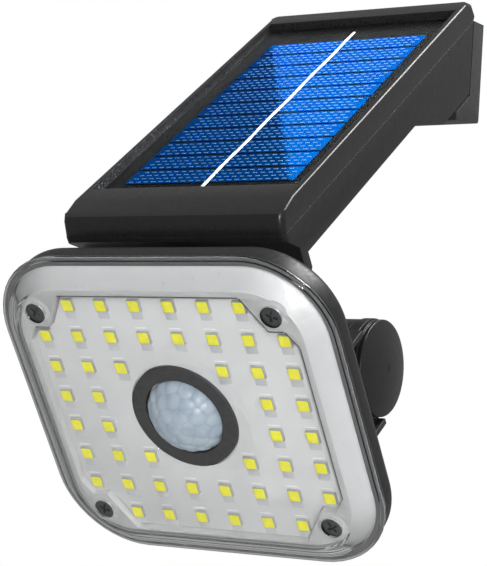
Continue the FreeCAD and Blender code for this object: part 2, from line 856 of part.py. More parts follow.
def make_hinge():
    """Bolt, nut, friction washers and the two round end caps."""
    axis = ("hinge_y", "hinge_z")
    shank = rod("hinge_shank", "bolt_radius", "2 * lug_outer + bolt_end",
                ("0 - lug_outer - bolt_end",) + axis, (1, 0, 0))
    head = rod("hinge_head", "bolt_head_radius", "bolt_end", ("lug_outer",) + axis, (1, 0, 0))
    keep(joined("hinge_bolt_shape", [shank, head]), "hinge_bolt")
    nut = primitive("Prism", "hinge_nut_hex", {"Circumradius": "nut_radius", "Height": "bolt_end"},
                    ("0 - lug_outer - bolt_end",) + axis, (1, 0, 0))
    nut.Polygon = 6
    hole = rod("hinge_nut_hole", "bolt_bore", "bolt_end + 2 * overrun",
               ("0 - lug_outer - bolt_end - overrun",) + axis, (1, 0, 0))
    keep(less("hinge_nut_shape", nut, [hole]), "hinge_nut")
    for side, name in ((1, "right"), (-1, "left")):
        disc = rod("washer_disc_" + name, "washer_radius",
                   "lug_inner - barrel_half - 2 * washer_play",
                   ("%d * (barrel_half + washer_play)" % side,) + axis, (side, 0, 0))
        eye = rod("washer_eye_" + name, "bolt_bore", "lug_outer - barrel_half",
                  ("%d * barrel_half" % side,) + axis, (side, 0, 0))
        keep(less("washer_shape_" + name, disc, [eye]), "friction_washer_" + name)
        make_cap(side, name)


def make_cap(side, name):
    """Round end cap: a stepped rim and a shallow crown, hollow over the bolt's end."""
    body = start_body("hinge_cap_" + name)
    sketch = sketch_on(body, "cap_profile_" + name, "XY_Plane")
    reach = size("barrel_radius")
    root = size("lug_outer") + size("washer_play")
    rim = size("cap_rim")
    crown = size("cap_crown")
    skin = size("cap_skin")
    step = size("cap_step")
    groove = root + 2 * step
    rise = crown - rim
    bend = (reach * reach + rise * rise) / (2 * rise)
    outer = ((reach, rim), (reach, groove + step), (reach - step, groove + step),
             (reach - step, groove), (reach, groove), (reach, root), (reach - skin, root),
             (reach - skin, rim - skin / 2), (0, rim), (0, crown))

    def place(radius, along):
        """A point of the profile; the profile is turned about the hinge axis."""
        return vector(side * along, radius, 0)

    spots = [place(radius, along) for radius, along in outer]
    for start, end in zip(spots, spots[1:]):
        sketch.addGeometry(Part.LineSegment(start, end))
    low = math.asin(reach / bend)
    middle = place(bend * math.sin(low / 2), crown - bend + bend * math.cos(low / 2))
    sketch.addGeometry(Part.Arc(spots[-1], middle, spots[0]))
    feature = body.newObject("PartDesign::Revolution", "cap_turned_" + name)
    feature.Profile = sketch
    feature.ReferenceAxis = (sketch, ["H_Axis"])
    feature.Angle = 360
    body.Placement = PANEL_FRAME.multiply(
        FreeCAD.Placement(vector(0, size("hinge_y"), size("hinge_z")), FreeCAD.Rotation()))
    doc.recompute()


# ---------------------------------------------------------------- panel housing

REAR_LINE = "(wall_y - back_gap + (%s) * sin(panel_tilt)) / cos(panel_tilt)"


def rear_at(height):
    """Slope position of the housing's upright back at a height over the panel's datum."""
    return REAR_LINE % height


def make_lower_shell():
    """Lower shell of the panel housing with its battery foot, neck and hinge barrel."""
    body = start_body("lower_shell")
    profile = polygon(body, "shell_profile", "YZ_Plane", (
        ("shell_front", "part_line"),
        ("shell_front", "shell_nose"),
        ("chamfer_end", "shell_floor"),
        ("floor_end", "shell_floor"),
        ("foot_start", "foot_floor"),
        (rear_at("foot_floor"), "foot_floor"),
        (rear_at("part_line"), "part_line"),
    ))
    pad = grow(body, profile, "2 * shell_half", both_ways=True)
    half = size("shell_half")
    high = size("part_line") - TOLERANCE
    corners = edges_where(pad, lambda edge, spot: abs(abs(spot.x) - half) < TOLERANCE
                          and (spot.y < size("shell_front") + TOLERANCE
                               or spot.y > size("panel_rear")) and spot.z < high)
    rounded(body, pad, corners, "plan_round")
    neck = polygon(body, "neck_plate", "YZ_Plane", (
        ("neck_front", "neck_root"),
        ("neck_front", "neck_taper"),
        ("chamfer_end", "neck_taper"),
        ("chamfer_end", "shell_floor"),
    ))
    grow(body, neck, "2 * shell_half", both_ways=True)
    taper = polygon(body, "neck_taper_outline", "XZ_Plane", (
        ("shell_half", "neck_taper"),
        ("0 - shell_half", "neck_taper"),
        ("0 - neck_narrow", "neck_end"),
        ("neck_narrow", "neck_end"),
    ), "0 - chamfer_end")
    grow(body, taper, "chamfer_end - neck_front")
    bend = polygon(body, "neck_lower", "YZ_Plane", (
        ("neck_front", "neck_bend"),
        ("chamfer_end", "neck_bend"),
        ("neck_rear", "hinge_z + barrel_radius / 2"),
        ("neck_under", "hinge_z - barrel_radius / 3"),
        ("neck_front", "neck_end"),
    ))
    grow(body, bend, "2 * neck_narrow", both_ways=True)
    barrel = circle(body, "barrel", "YZ_Plane", ("hinge_y", "hinge_z"), "barrel_radius")
    grow(body, barrel, "2 * barrel_half", both_ways=True)
    inside = polygon(body, "shell_inside", "YZ_Plane", (
        ("shell_front + shell_wall", "part_line + overrun"),
        ("shell_front + shell_wall", "shell_nose + shell_wall / 2"),
        ("chamfer_end + shell_wall / 2", "shell_floor + shell_wall"),
        ("floor_end + shell_wall / 4", "shell_floor + shell_wall"),
        ("foot_start + shell_wall / 4", "foot_floor + shell_wall"),
        (rear_at("foot_floor + shell_wall") + " - back_skin", "foot_floor + shell_wall"),
        (rear_at("part_line + overrun") + " - back_skin", "part_line + overrun"),
    ))
    cut(body, inside, "2 * (shell_half - shell_wall)", both_ways=True)
    add_shell_posts(body)
    bore = circle(body, "barrel_bore", "YZ_Plane", ("hinge_y", "hinge_z"), "bolt_bore")
    cut(body, bore, "3 * barrel_half", both_ways=True)
    button = circle(body, "button_hole", "XY_Plane", ("button_x", "button_y"),
                    "button_radius + button_play", "shell_floor + shell_wall")
    cut(body, button, "shell_wall + overrun")
    tongue = polygon(body, "tongue_slot", "YZ_Plane", tongue_outline("tongue_play"))
    cut(body, tongue, "2 * (tongue_half + tongue_play)", both_ways=True)
    lock = circle(body, "lock_hole", "XY_Plane", ("0", "lock_y"), "lock_pilot",
                  "foot_floor + shell_wall + lock_boss_high")
    cut(body, lock, "shell_wall + lock_boss_high + overrun")


def tongue_outline(gap):
    """Side view of the bracket's tongue in the panel frame, grown by a gap."""
    corners = (("tongue_deep + %s" % gap, "tongue_high + %s" % gap),
               ("0 - shell_wall", "tongue_high + %s" % gap),
               ("0 - shell_wall", "tongue_low - %s" % gap),
               ("tongue_deep + %s" % gap, "tongue_low - %s" % gap))
    outline = []
    for depth, height in corners:
        level = "(wall_y - back_gap - (%s))" % depth
        upright = "(wall_z + (%s))" % height
        outline.append(("%s * cos(panel_tilt) + %s * sin(panel_tilt)" % (level, upright),
                        "%s * cos(panel_tilt) - %s * sin(panel_tilt)" % (upright, level)))
    return outline


def add_shell_posts(body):
    """Screw bosses, board posts and the walled pocket behind the battery."""
    for tag, spot in joint_spots():
        boss = circle(body, "boss_" + tag, "XY_Plane", spot, "joint_boss",
                      "shell_floor + shell_wall / 2")
        grow(body, boss, "joint_boss_high")
        hole = circle(body, "way_" + tag, "XY_Plane", spot, "joint_way", "part_line")
        cut(body, hole, "part_line - shell_floor + overrun")
        sink = circle(body, "sink_" + tag, "XY_Plane", spot, "joint_sink",
                      "shell_floor + joint_seat")
        cut(body, sink, "joint_seat + overrun")
    for tag, spot in post_spots():
        post = circle(body, "post_" + tag, "XY_Plane", spot, "post_thick",
                      "shell_floor + shell_wall / 2")
        grow(body, post, "circuit_low - shell_floor - shell_wall / 2")
        pilot = circle(body, "board_pilot_" + tag, "XY_Plane", spot, "post_pilot", "circuit_low")
        cut(body, pilot, "circuit_low - shell_floor - shell_wall")
    pocket = polygon(body, "tongue_pocket_wall", "YZ_Plane", tongue_outline("shell_wall"))
    grow(body, pocket, "2 * (tongue_half + shell_wall)", both_ways=True)
    low = "foot_floor - foot_floor / 4"
    high = "part_line + part_line / 4"
    trim = polygon(body, "rear_trim", "YZ_Plane", (
        (rear_at(low), low),
        (rear_at(high), high),
        (rear_at(high) + " + 2 * back_gap", high),
        (rear_at(low) + " + 2 * back_gap", low),
    ))
    cut(body, trim, "3 * shell_half", both_ways=True)
    lock = circle(body, "lock_post", "XY_Plane", ("0", "lock_y"), "lock_boss",
                  "foot_floor + shell_wall / 2")
    grow(body, lock, "lock_boss_high")


def make_top_frame():
    """Frame that holds the panel: sloping nose, thin rim and a ledge under the panel."""
    body = start_body("top_frame")
    profile = polygon(body, "frame_profile", "YZ_Plane", (
        ("shell_front + frame_gap", "part_line + frame_gap"),
        ("shell_front + brow_run", "frame_brow"),
        ("shell_front + shoulder_run", "frame_shoulder"),
        ("chamfer_end + frame_gap", "frame_top"),
        ("frame_rear - tail_run", "frame_top"),
        ("frame_rear - tail_step", "frame_shoulder - frame_gap"),
        ("frame_rear", "part_line + 3 * frame_gap"),
        ("frame_rear - tail_bevel", "part_line + frame_gap"),
    ))
    pad = grow(body, profile, "2 * shell_half", both_ways=True)
    half = size("shell_half")
    nose = size("shell_front") + size("corner_reach")
    corners = edges_where(pad, lambda edge, spot: abs(abs(spot.x) - half) < TOLERANCE
                          and edge.Length < size("corner_edge")
                          and (spot.y < nose or spot.y > size("panel_rear")))
    rounded(body, pad, corners, "plan_round")
    window = polygon(body, "panel_window", "XY_Plane", (
        ("0 - panel_half", "panel_front"),
        ("panel_half", "panel_front"),
        ("panel_half", "panel_rear"),
        ("0 - panel_half", "panel_rear"),
    ), "frame_top + overrun")
    cut(body, window, "frame_top + overrun - ledge_top")
    opening = polygon(body, "ledge_opening", "XY_Plane", (
        ("0 - ledge_half", "panel_front + ledge_deep"),
        ("ledge_half", "panel_front + ledge_deep"),
        ("ledge_half", "panel_rear - ledge_deep"),
        ("0 - ledge_half", "panel_rear - ledge_deep"),
    ), "frame_top + overrun")
    cut(body, opening, "frame_top")
    for tag, spot in joint_spots():
        boss = circle(body, "frame_boss_" + tag, "XY_Plane", spot, "joint_boss",
                      "shell_floor + joint_split")
        grow(body, boss, "ledge_top - shell_floor - joint_split")
        pilot = circle(body, "frame_pilot_" + tag, "XY_Plane", spot, "joint_pilot",
                       "ledge_top - overrun")
        cut(body, pilot, "ledge_top - shell_floor")


def make_panel():
    """Solar panel: foam tape, backing board, cell strips, busbar and clear resin."""
    corner = ("0 - panel_half + panel_play", "panel_front + panel_play")
    plan = ("2 * (panel_half - panel_play)", "panel_rear - panel_front - 2 * panel_play")
    deck = "ledge_top + tape_thick + backing_thick"
    tape = slab("tape_outer", plan + ("tape_thick",), corner + ("ledge_top",))
    middle = slab("tape_inner",
                  ("2 * ledge_half", "panel_rear - panel_front - 2 * ledge_deep", "overrun"),
                  ("0 - ledge_half", "panel_front + ledge_deep", "ledge_top - overrun / 2"))
    keep(less("tape_shape", tape, [middle]), "panel_tape")
    keep(slab("panel_board", plan + ("backing_thick",), corner + ("ledge_top + tape_thick",)),
         "panel_backing")
    print_top = deck + " + cell_thick + busbar_thick"
    keep(slab("resin_shape", plan + ("panel_face - (%s)" % print_top,), corner + (print_top,)),
         "panel_resin")
    length = "%d * cell_pitch + 2 * busbar_over" % CELL_COUNT
    keep(slab("busbar_shape", ("2 * busbar_half", length, "busbar_thick"),
              ("0 - busbar_half", "cell_start - busbar_over", deck + " + cell_thick")),
         "panel_busbar")
    cells = []
    wide = size("cell_left") + size("cell_right")
    long = size("cell_pitch") - size("cell_gap")
    level = value_of(named(deck))
    for strip in range(CELL_COUNT):
        start = size("cell_start") + strip * size("cell_pitch") + size("cell_gap") / 2
        low = vector(-size("cell_left"), start, level)
        cells.append(Part.makeBox(wide, long, size("cell_thick"), low))
    group("solar_cells", cells)


def make_seal():
    """Foam seal between the lower shell and the frame, along the shell's long walls."""
    wide = size("shell_wall") / 2
    start = size("shell_front") + 2 * size("shell_wall")
    long = size("panel_rear") - size("shell_wall") - start
    low = size("shell_half") - size("shell_wall") / 2 - wide / 2
    strips = []
    for left in (low, -low - wide):
        corner = vector(left, start, size("part_line"))
        strips.append(Part.makeBox(wide, long, size("frame_gap"), corner))
    group("housing_seal", strips)


# ---------------------------------------------------------------- electronics

def lead(points):
    """A round lead through points, with an arc in place of each inner corner."""
    edges = []
    start = points[0]
    for before, corner, after in zip(points, points[1:], points[2:]):
        arriving = (corner - before).normalize()
        leaving = (after - corner).normalize()
        half_turn = arriving.getAngle(leaving) / 2
        radius = size("lead_bend")
        back = radius * math.tan(half_turn)
        inward = (leaving - arriving).normalize()
        middle = corner + inward * (radius / math.cos(half_turn) - radius)
        first = corner - arriving * back
        last = corner + leaving * back
        edges.append(Part.makeLine(start, first))
        edges.append(Part.Arc(first, middle, last).toShape())
        start = last
    edges.append(Part.makeLine(start, points[-1]))
    path = Part.Wire(edges)
    ring = Part.makeCircle(size("lead_radius"), points[0], points[1] - points[0])
    return path.makePipeShell([Part.Wire(ring)], True, False)


def make_battery():
    """Battery cell with its terminal, tabs and the two leads to the control board."""
    centre = ("battery_y", "battery_z")
    keep(rod("battery_shape", "battery_radius", "2 * battery_half",
             ("0 - battery_half",) + centre, (1, 0, 0)), "battery_cell")
    nub = rod("battery_nub", "terminal_radius", "terminal_out", ("battery_half",) + centre,
              (1, 0, 0))
    keep(nub, "battery_terminal")
    thick = size("tab_thick")
    wide = size("tab_wide")
    tabs = []
    leads = []
    level = size("circuit_low") + size("circuit_thick") + size("lead_radius")
    for side, face in ((1, size("battery_half") + size("terminal_out")),
                       (-1, size("battery_half"))):
        corner = vector(face if side > 0 else -face - thick, size("battery_y") - wide / 2,
                        size("battery_z") - wide / 2)
        tabs.append(Part.makeBox(thick, wide, size("tab_high"), corner))
        beside = side * (face + thick + size("lead_radius"))
        landing = size("circuit_front") + size("circuit_long") - wide
        turn = landing + size("battery_radius") + wide
        leads.append(lead([vector(beside, size("battery_y"), level), vector(beside, turn, level),
                           vector(side * size("button_x"), landing, level)]))
    group("battery_tabs", tabs)
    group("battery_leads", leads)


def make_circuit():
    """Charge and control board on its four screws, with its parts and the panel's leads."""
    board = slab("circuit_outline", ("2 * circuit_half", "circuit_long", "circuit_thick"),
                 ("0 - circuit_half", "circuit_front", "circuit_low"))
    level = size("circuit_low") + size("circuit_thick")
    holes = []
    screws = []
    for tag, spot in post_spots():
        holes.append(rod("circuit_hole_" + tag, "post_pilot + board_gap", "3 * circuit_thick",
                         spot + ("circuit_low - circuit_thick",), (0, 0, 1)))
        screws.append(pan_screw(middle_of(spot, level), vector(0, 0, -1), BOARD_SCREW))
    keep(less("circuit_shape", board, holes), "control_board")
    group("board_screws", screws)
    top = "circuit_low + circuit_thick"
    keep(slab("chip_shape", ("chip_wide", "chip_long", "chip_high"),
              ("0 - post_x / 2", "circuit_front + post_x", top)), "charge_chip")
    keep(rod("coil_shape", "coil_radius", "coil_high",
             ("post_x / 2 - coil_in", "post_front + post_x / 2", top), (0, 0, 1)), "charge_coil")
    cans = [Part.makeCylinder(size("capacitor_radius"), size("capacitor_high"),
                              vector(across, along, level), vector(0, 0, 1))
            for across, along in CAPACITOR_SPOTS]
    group("capacitors", cans)
    screws = [pan_screw(middle_of(spot, size("shell_floor") + size("joint_seat")),
                        vector(0, 0, 1), HOUSING_SCREW) for _, spot in joint_spots()]
    group("housing_screws", screws)
    leads = []
    for across in PANEL_LEADS:
        above = vector(across, size("button_y") - size("lead_set"),
                       size("ledge_top") + size("tape_thick"))
        corner = vector(across, above.y, level + size("lead_radius"))
        reach = 2 * size("lead_bend") + size("lead_set")
        leads.append(lead([above, corner, corner - vector(0, reach, 0)]))
    group("panel_leads", leads)


def make_button():
    """Tact switch under the board and the rubber-topped button that presses it."""
    spot = ("button_x", "button_y")
    body = slab("switch_body", ("switch_side", "switch_side", "switch_high"),
                ("button_x - switch_side / 2", "button_y - switch_side / 2",
                 "circuit_low - switch_high"))
    stem = rod("switch_stem", "stem_radius", "stem_high",
               spot + ("circuit_low - switch_high - stem_high",), (0, 0, 1))
    keep(joined("switch_shape", [body, stem]), "mode_switch")
    top = rod("button_post", "button_radius", "button_out + shell_wall + collar_gap",
              spot + ("shell_floor - button_out",), (0, 0, 1))
    collar = rod("button_flange", "button_radius + button_collar", "collar_thick",
                 spot + ("shell_floor + shell_wall + collar_gap",), (0, 0, 1))
    keep(joined("button_shape", [top, collar]), "mode_button")


# ---------------------------------------------------------------- wall bracket

def make_bracket():
    """Bracket: a plate on the wall, a sloping block under the foot and a locating tongue."""
    body = doc.addObject("PartDesign::Body", "bracket_body")
    under = "(foot_floor - fit_gap)"
    slope = "((wall_y - plate_thick + %s * sin(panel_tilt)) / cos(panel_tilt))" % under
    corner = "(%s * sin(panel_tilt) + %s * cos(panel_tilt) - wall_z)" % (slope, under)
    profile = polygon(body, "bracket_profile", "YZ_Plane", (
        ("0", "plate_half"),
        ("0", "0 - plate_half"),
        ("0 - block_front", "0 - plate_half - block_drop"),
        ("0 - block_front", "%s - (block_front - plate_thick) * tan(panel_tilt)" % corner),
        ("0 - plate_thick", corner),
        ("0 - plate_thick", "plate_half - plate_step"),
    ))
    pad = grow(body, profile, "2 * shell_half", both_ways=True)
    low_edge = edges_where(pad, lambda edge, spot: abs(spot.x) < TOLERANCE
                           and abs(spot.y) < TOLERANCE and spot.z < 0)
    rounded(body, pad, low_edge, "plate_round")
    tongue = polygon(body, "tongue", "YZ_Plane", (
        ("0 - back_gap - tongue_deep", "tongue_high"),
        ("0 - plate_thick / 2", "tongue_high"),
        ("0 - plate_thick / 2", "tongue_low"),
        ("0 - back_gap - tongue_deep", "tongue_low"),
    ))
    grow(body, tongue, "2 * tongue_half", both_ways=True)
    tools = []
    for side in MIRROR:
        tag = "rl"[side < 0]
        across = "%d * wall_hole_x" % side
        tools.append(rod("wall_hole_" + tag, "wall_hole_radius", "plate_thick + 2 * overrun",
                         (across, "overrun", "0"), (0, -1, 0)))
        tools.append(primitive("Cone", "wall_sink_" + tag, {
            "Radius1": "wall_hole_radius", "Radius2": "wall_hole_sink",
            "Height": "wall_hole_sink - wall_hole_radius"},
            (across, "0 - plate_thick + wall_hole_sink - wall_hole_radius", "0"), (0, -1, 0)))
    way = rod("lock_way_hole", "lock_way", "2 * block_front",
              ("0", "lock_y", "foot_floor - block_front"), (0, 0, 1))
    seat = rod("lock_seat_hole", "lock_boss", "2 * lock_seat",
               ("0", "lock_y", "foot_floor - 3 * lock_seat"), (0, 0, 1))
    tools += [placed(way, PANEL_FRAME), placed(seat, PANEL_FRAME)]
    keep(less("bracket_shape", body, tools), "wall_bracket", FreeCAD.Placement())
    spot = vector(0, size("lock_y"), size("foot_floor") - size("lock_seat"))
    group("lock_screw", [pan_screw(spot, vector(0, 0, 1), LOCK_SCREW)])


# ---------------------------------------------------------------- check and write

def faults():
    """Objects that failed, and nodes with no solid or a solid that isn't valid."""
    found = [item.Name for item in doc.Objects
             if "Invalid" in item.State or "Error" in item.State]
    for item in subparts:
        if item.Shape.isNull() or not item.Shape.isValid() or not item.Shape.Solids:
            found.append(item.Label)
    return found


def write_steps():
    """Write each node to its own STEP file."""
    os.makedirs("parts", exist_ok=True)
    for item in subparts:
        item.Shape.exportStep(os.path.join("parts", item.Label + ".step"))
        print("%-24s %2d solids %9.1f mm3" % (item.Label, len(item.Shape.Solids),
                                              item.Shape.Volume))


for make in (make_cover, make_back_housing, make_gasket, make_tray, make_board, make_leds,
             make_sensor, make_cover_screws, make_hinge, make_lower_shell, make_top_frame,
             make_panel, make_seal, make_battery, make_circuit, make_button, make_bracket):
    make()
doc.recompute()
failed = faults()
if failed:
    raise SystemExit("failed: " + ", ".join(failed))
write_steps()
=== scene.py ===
"""Looks of a wall solar flood light: a lamp head under a clear cover, hinged below a
housing with a solar panel.

Pieces are drawn in millimetres in the panel's own frame: x across, y up the slope towards
the wall, z out square to the panel. The lamp head faces down the slope, so its front is at low
y and its face spreads over x and z. PANEL turns this frame into the part's own, in metres.
"""
import json
import math
import random

import bmesh
import bpy
from mathutils import Matrix, Quaternion, Vector


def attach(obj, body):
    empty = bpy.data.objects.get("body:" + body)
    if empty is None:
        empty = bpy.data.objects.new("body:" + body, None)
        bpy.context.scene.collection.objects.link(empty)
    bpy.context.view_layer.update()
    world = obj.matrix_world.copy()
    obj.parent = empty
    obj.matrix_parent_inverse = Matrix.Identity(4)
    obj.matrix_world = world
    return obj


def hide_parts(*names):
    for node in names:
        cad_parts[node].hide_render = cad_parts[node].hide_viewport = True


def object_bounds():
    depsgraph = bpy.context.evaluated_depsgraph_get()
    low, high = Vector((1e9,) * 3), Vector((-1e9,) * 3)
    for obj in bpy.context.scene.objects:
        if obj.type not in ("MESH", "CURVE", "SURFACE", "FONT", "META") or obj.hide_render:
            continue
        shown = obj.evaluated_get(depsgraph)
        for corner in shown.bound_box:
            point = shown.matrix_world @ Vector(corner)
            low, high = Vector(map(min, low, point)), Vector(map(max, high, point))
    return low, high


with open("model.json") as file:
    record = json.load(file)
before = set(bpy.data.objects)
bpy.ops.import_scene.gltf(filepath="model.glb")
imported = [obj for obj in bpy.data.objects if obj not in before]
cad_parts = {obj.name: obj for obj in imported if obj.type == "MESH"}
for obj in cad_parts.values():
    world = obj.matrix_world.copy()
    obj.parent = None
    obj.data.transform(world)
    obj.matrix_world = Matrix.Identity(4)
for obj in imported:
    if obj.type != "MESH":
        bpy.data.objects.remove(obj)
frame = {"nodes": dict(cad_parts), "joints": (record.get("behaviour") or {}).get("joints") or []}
cad_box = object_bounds()

# The hinge, whose place is known in both frames, ties the panel's frame to the part's
MM = 0.001
JOINTS = {joint["name"]: joint for joint in frame["joints"]}
OUTWARD = Vector(JOINTS["button_press"]["axis"])
TILT = math.atan2(-OUTWARD.y, OUTWARD.z)
HINGE = Vector(JOINTS["lamp_tilt"]["pos_m"])
HINGE_UP = 48.5
HINGE_OUT = -16.1
PANEL = (Matrix.Translation(HINGE) @ Matrix.Rotation(TILT, 4, "X") @ Matrix.Scale(MM, 4)
         @ Matrix.Translation((0, -HINGE_UP, -HINGE_OUT)))

# Clear cover: a pan with a bead and a flange round it and a funnel back to the sensor.
# Insets are measured in from the flange's outline; fronts and backs are values of y.
COVER_WIDE = 97.4
COVER_HIGH = 89.4
COVER_CORNER = 22.0
COVER_FRONT = -2.4
COVER_SKIN = 1.0
FLANGE_FRONT = 1.4
FLANGE_BACK = 2.4
BEAD_INSET = 1.0
BEAD_RISE = 0.45
BEAD_SLOPE = 0.15
PAN_INSET = 2.4
PAN_FRONT = 0.4
PAN_EASE = 0.6
FACE_INSET = 6.7
FACE_BORDER = 9.0
HOLLOW_INSET = 2.8
HOLLOW_STEP = 0.6
HOLLOW_EASE = 0.5
SENSOR_HOLE = 15.1
FUNNEL_HOLE = 20.4
FUNNEL_LEAD = 2.0
FUNNEL_DEEP = 1.5
FUNNEL_EASE = 1.2
FUNNEL_STEPS = 6
SIDE_POINTS = 9
EASE_SPLIT = 2.2

# Cover screws, their holes in the cover and their white seats
SCREW_X = 34.3
SCREW_Z = 30.5
SCREW_SEAT = -1.3
SCREW_HEAD = 2.8
SCREW_CROWN = 0.8
SCREW_FALL = 0.22
SCREW_SPINS = (0.2, 1.3)
SCREW_ROWS = 26
SCREW_COLUMNS = 72
SHANK_SHARE = 0.45
SHANK_BACK = 4.0
CROSS_DEEP = 0.6
CROSS_ARM = 1.6
CROSS_HALF = 0.4
CROSS_WALL = 0.18
HOLE_RADIUS = 2.82
HOLE_FLARE = 0.1
HOLE_LEAD = 0.3
HOLE_PAST = 1.0
HOLE_STEPS = 40
SEAT_RADIUS = 4.2
SEAT_THICK = 0.4
SEAT_EASE = 0.05
SEAT_CROWN = 0.02
SEAT_STEPS = 48

# LED grid: every LED's front is at y = 0 and the board's face is at LED_HIGH
LED_PITCH = 10.0
LED_ROW_PITCH = 9.11
LED_SIZE = 3.5
LED_CORNER = 0.15
LED_SLOPE = 0.16
LED_SLOPE_DEEP = 0.12
LED_HIGH = 0.75
GRID = 8
CORNER_STEPS = 6.5
SENSOR_STEPS = 2.5

# Cup in each LED and the gel that fills it: (added to the window's side, y, corner) of each loop
CUP_WINDOW = 3.0
# Cups sit left of and below the middle, so the grey rim of the body, a painted shade, is wider
# at the top and right
CUP_SHIFT = -0.12
CUP_LOOPS = ((0.06, 0.0, 0.3), (0.0, 0.12, 0.3))
GEL_LOOPS = ((0.04, 0.13, 0.3), (0.04, 0.02, 0.3), (-0.5, -0.02, 0.4), (-1.6, -0.04, 0.4))

# Pale strip above each LED and painted shadow below it: place, then (wide, high, corner, y) of
# each loop
LIGHT_STRIP_X = -0.5
LIGHT_STRIP_Z = 2.45
LIGHT_STRIP_LOOPS = ((3.4, 0.3, 0.1, LED_HIGH + 0.05), (3.4, 0.3, 0.1, LED_HIGH - 0.04))
SHADOW_PATCH_X = -0.35
SHADOW_PATCH_Z = -2.9
SHADOW_PATCH_LOOPS = ((3.4, 2.6, 0.3, LED_HIGH + 0.05), (3.4, 2.6, 0.3, LED_HIGH - 0.03),
             (3.3, 2.5, 0.25, LED_HIGH - 0.05))

# Painted shadow line along the LED board's upper and right sides, drawn at the tray's front
TRAY_FRONT = -1.2
BOARD_WELD = 0.002
BOARD_LEVEL = 0.01
BOARD_FACING = 0.9
BOARD_HOLE = SENSOR_HOLE + 4
EDGE_GAP = 0.2
EDGE_WIDE = 0.3
EDGE_PROUD = 0.03
EDGE_SUNK = 0.02
SHADOW_SIDE_LIMIT = -0.1

# Sensor lens: facets sit about seeds on rings of (share of the radius, count)
LENS_RADIUS = 10.8
LENS_RIM = -0.6
LENS_RISE = 6.4
LENS_RINGS = ((0.30, 6), (0.58, 11), (0.86, 16))
LENS_SCATTER = 0.12
LENS_FACET = 0.17
LENS_FALL = 0.55
LENS_BULGE = 0.42
LENS_PLAIN = 0.985
LENS_ROWS = 64
LENS_COLUMNS = 160

# Rounded crest of the top frame
CREST_SIDE = 32.3
CREST_OUT = 43.5
CREST_ANGLE = math.radians(40)
CREST_WIDTH = 0.7
CREST_SEGMENTS = 5

# Rounding of other edges: welding and merging in metres and degrees, then the sharpest flat
WELD = 2e-6
MERGE_ANGLE = 0.6
SHARP_ANGLE = 32.0

# Solar cells
CELL_LEFT = -25.2
CELL_RIGHT = 25.5
CELL_START = 36.9
CELL_PITCH = 8.168
CELL_COUNT = 11
CELL_GAP = 0.9
CELL_TOP = 46.2
CELL_THICK = 0.3
BUSBAR_HALF = 0.52
BUSBAR_LUMP = 0.16
BUSBAR_RAGGED = 0.05
BUSBAR_CROWN = 0.6
BUSBAR_OVERRUN = 5.5
BUSBAR_UNDER = 0.01
BUSBAR_THICK = 0.16
BUSBAR_SOLDER = 0.3
BUSBAR_SWAY = 0.12
BUSBAR_WAVE = 27.0
BUSBAR_STEPS = 180
FINGER_LINES = 4
FINGER_DASH = 1.25
FINGER_PITCH = 2.3
FINGER_HALF = 0.16
FINGER_MARGIN = 0.9
FINGER_LINE_SHIFT = 0.27
FINGER_STRIP_SHIFT = 0.11
FINGER_SINK = 0.01
FINGER_RISE = 0.03

# How much larger than the grain the mottling, wear and uneven gloss of a surface are
MOTTLE_SIZE = 12
WEAR_SIZE = 4
GLOSS_SIZE = 5

# Width of a worn edge, in metres, and the sockets of a Mix node that mixes colours
WEAR_WIDTH = 0.0004
MIX_DARK = 6
MIX_LIGHT = 7
MIX_RESULT = 2

random.seed(4)


# ------------------------------------------------------------------ materials

def new_material(name, colour, roughness, **sockets):
    """A node material with its Principled shader's own sockets set."""
    material = bpy.data.materials.new(name)
    material.use_nodes = True
    shader = material.node_tree.nodes["Principled BSDF"]
    shader.inputs["Base Color"].default_value = (*colour, 1.0)
    shader.inputs["Roughness"].default_value = roughness
    for key, value in sockets.items():
        shader.inputs[key.replace("_", " ")].default_value = value
    return material


def add_node(material, kind, **settings):
    """A node with some of its properties set."""
    node = material.node_tree.nodes.new("ShaderNode" + kind)
    for key, value in settings.items():
        setattr(node, key, value)
    return node


def noise(material, scale, detail):
    """Noise over the object's own space; scale is features per metre."""
    place = add_node(material, "TexCoord")
    texture = add_node(material, "TexNoise")
    texture.inputs["Scale"].default_value = scale
    texture.inputs["Detail"].default_value = detail
    link(material, place.outputs["Object"], texture.inputs["Vector"])
    return texture.outputs["Fac"]


def link(material, source, target):
    """Join two sockets."""
    material.node_tree.links.new(source, target)


def spread(material, source, low, high, start=0.3, end=0.7):
    """Stretch the middle of a 0 to 1 value over a new range."""
    node = add_node(material, "MapRange")
    node.inputs["From Min"].default_value = start
    node.inputs["From Max"].default_value = end
    node.inputs["To Min"].default_value = low
    node.inputs["To Max"].default_value = high
    link(material, source, node.inputs["Value"])
    return node.outputs["Result"]


def tint(material, factor, dark, light):
    """A colour between two, by a factor."""
    node = add_node(material, "Mix", data_type="RGBA")
    link(material, factor, node.inputs["Factor"])
    node.inputs[MIX_DARK].default_value = (*dark, 1.0)
    node.inputs[MIX_LIGHT].default_value = (*light, 1.0)
    return node.outputs[MIX_RESULT]


def edge_mask(material, radius):
    """1 along sharp edges and 0 on flats, from the rounding that a bevel would give."""
    soft = add_node(material, "Bevel", samples=6)
    soft.inputs["Radius"].default_value = radius
    sharp = add_node(material, "NewGeometry")
    dot = add_node(material, "VectorMath", operation="DOT_PRODUCT")
    link(material, soft.outputs["Normal"], dot.inputs[0])
    link(material, sharp.outputs["Normal"], dot.inputs[1])
    return spread(material, dot.outputs["Value"], 1.0, 0.0, start=0.80, end=0.99)


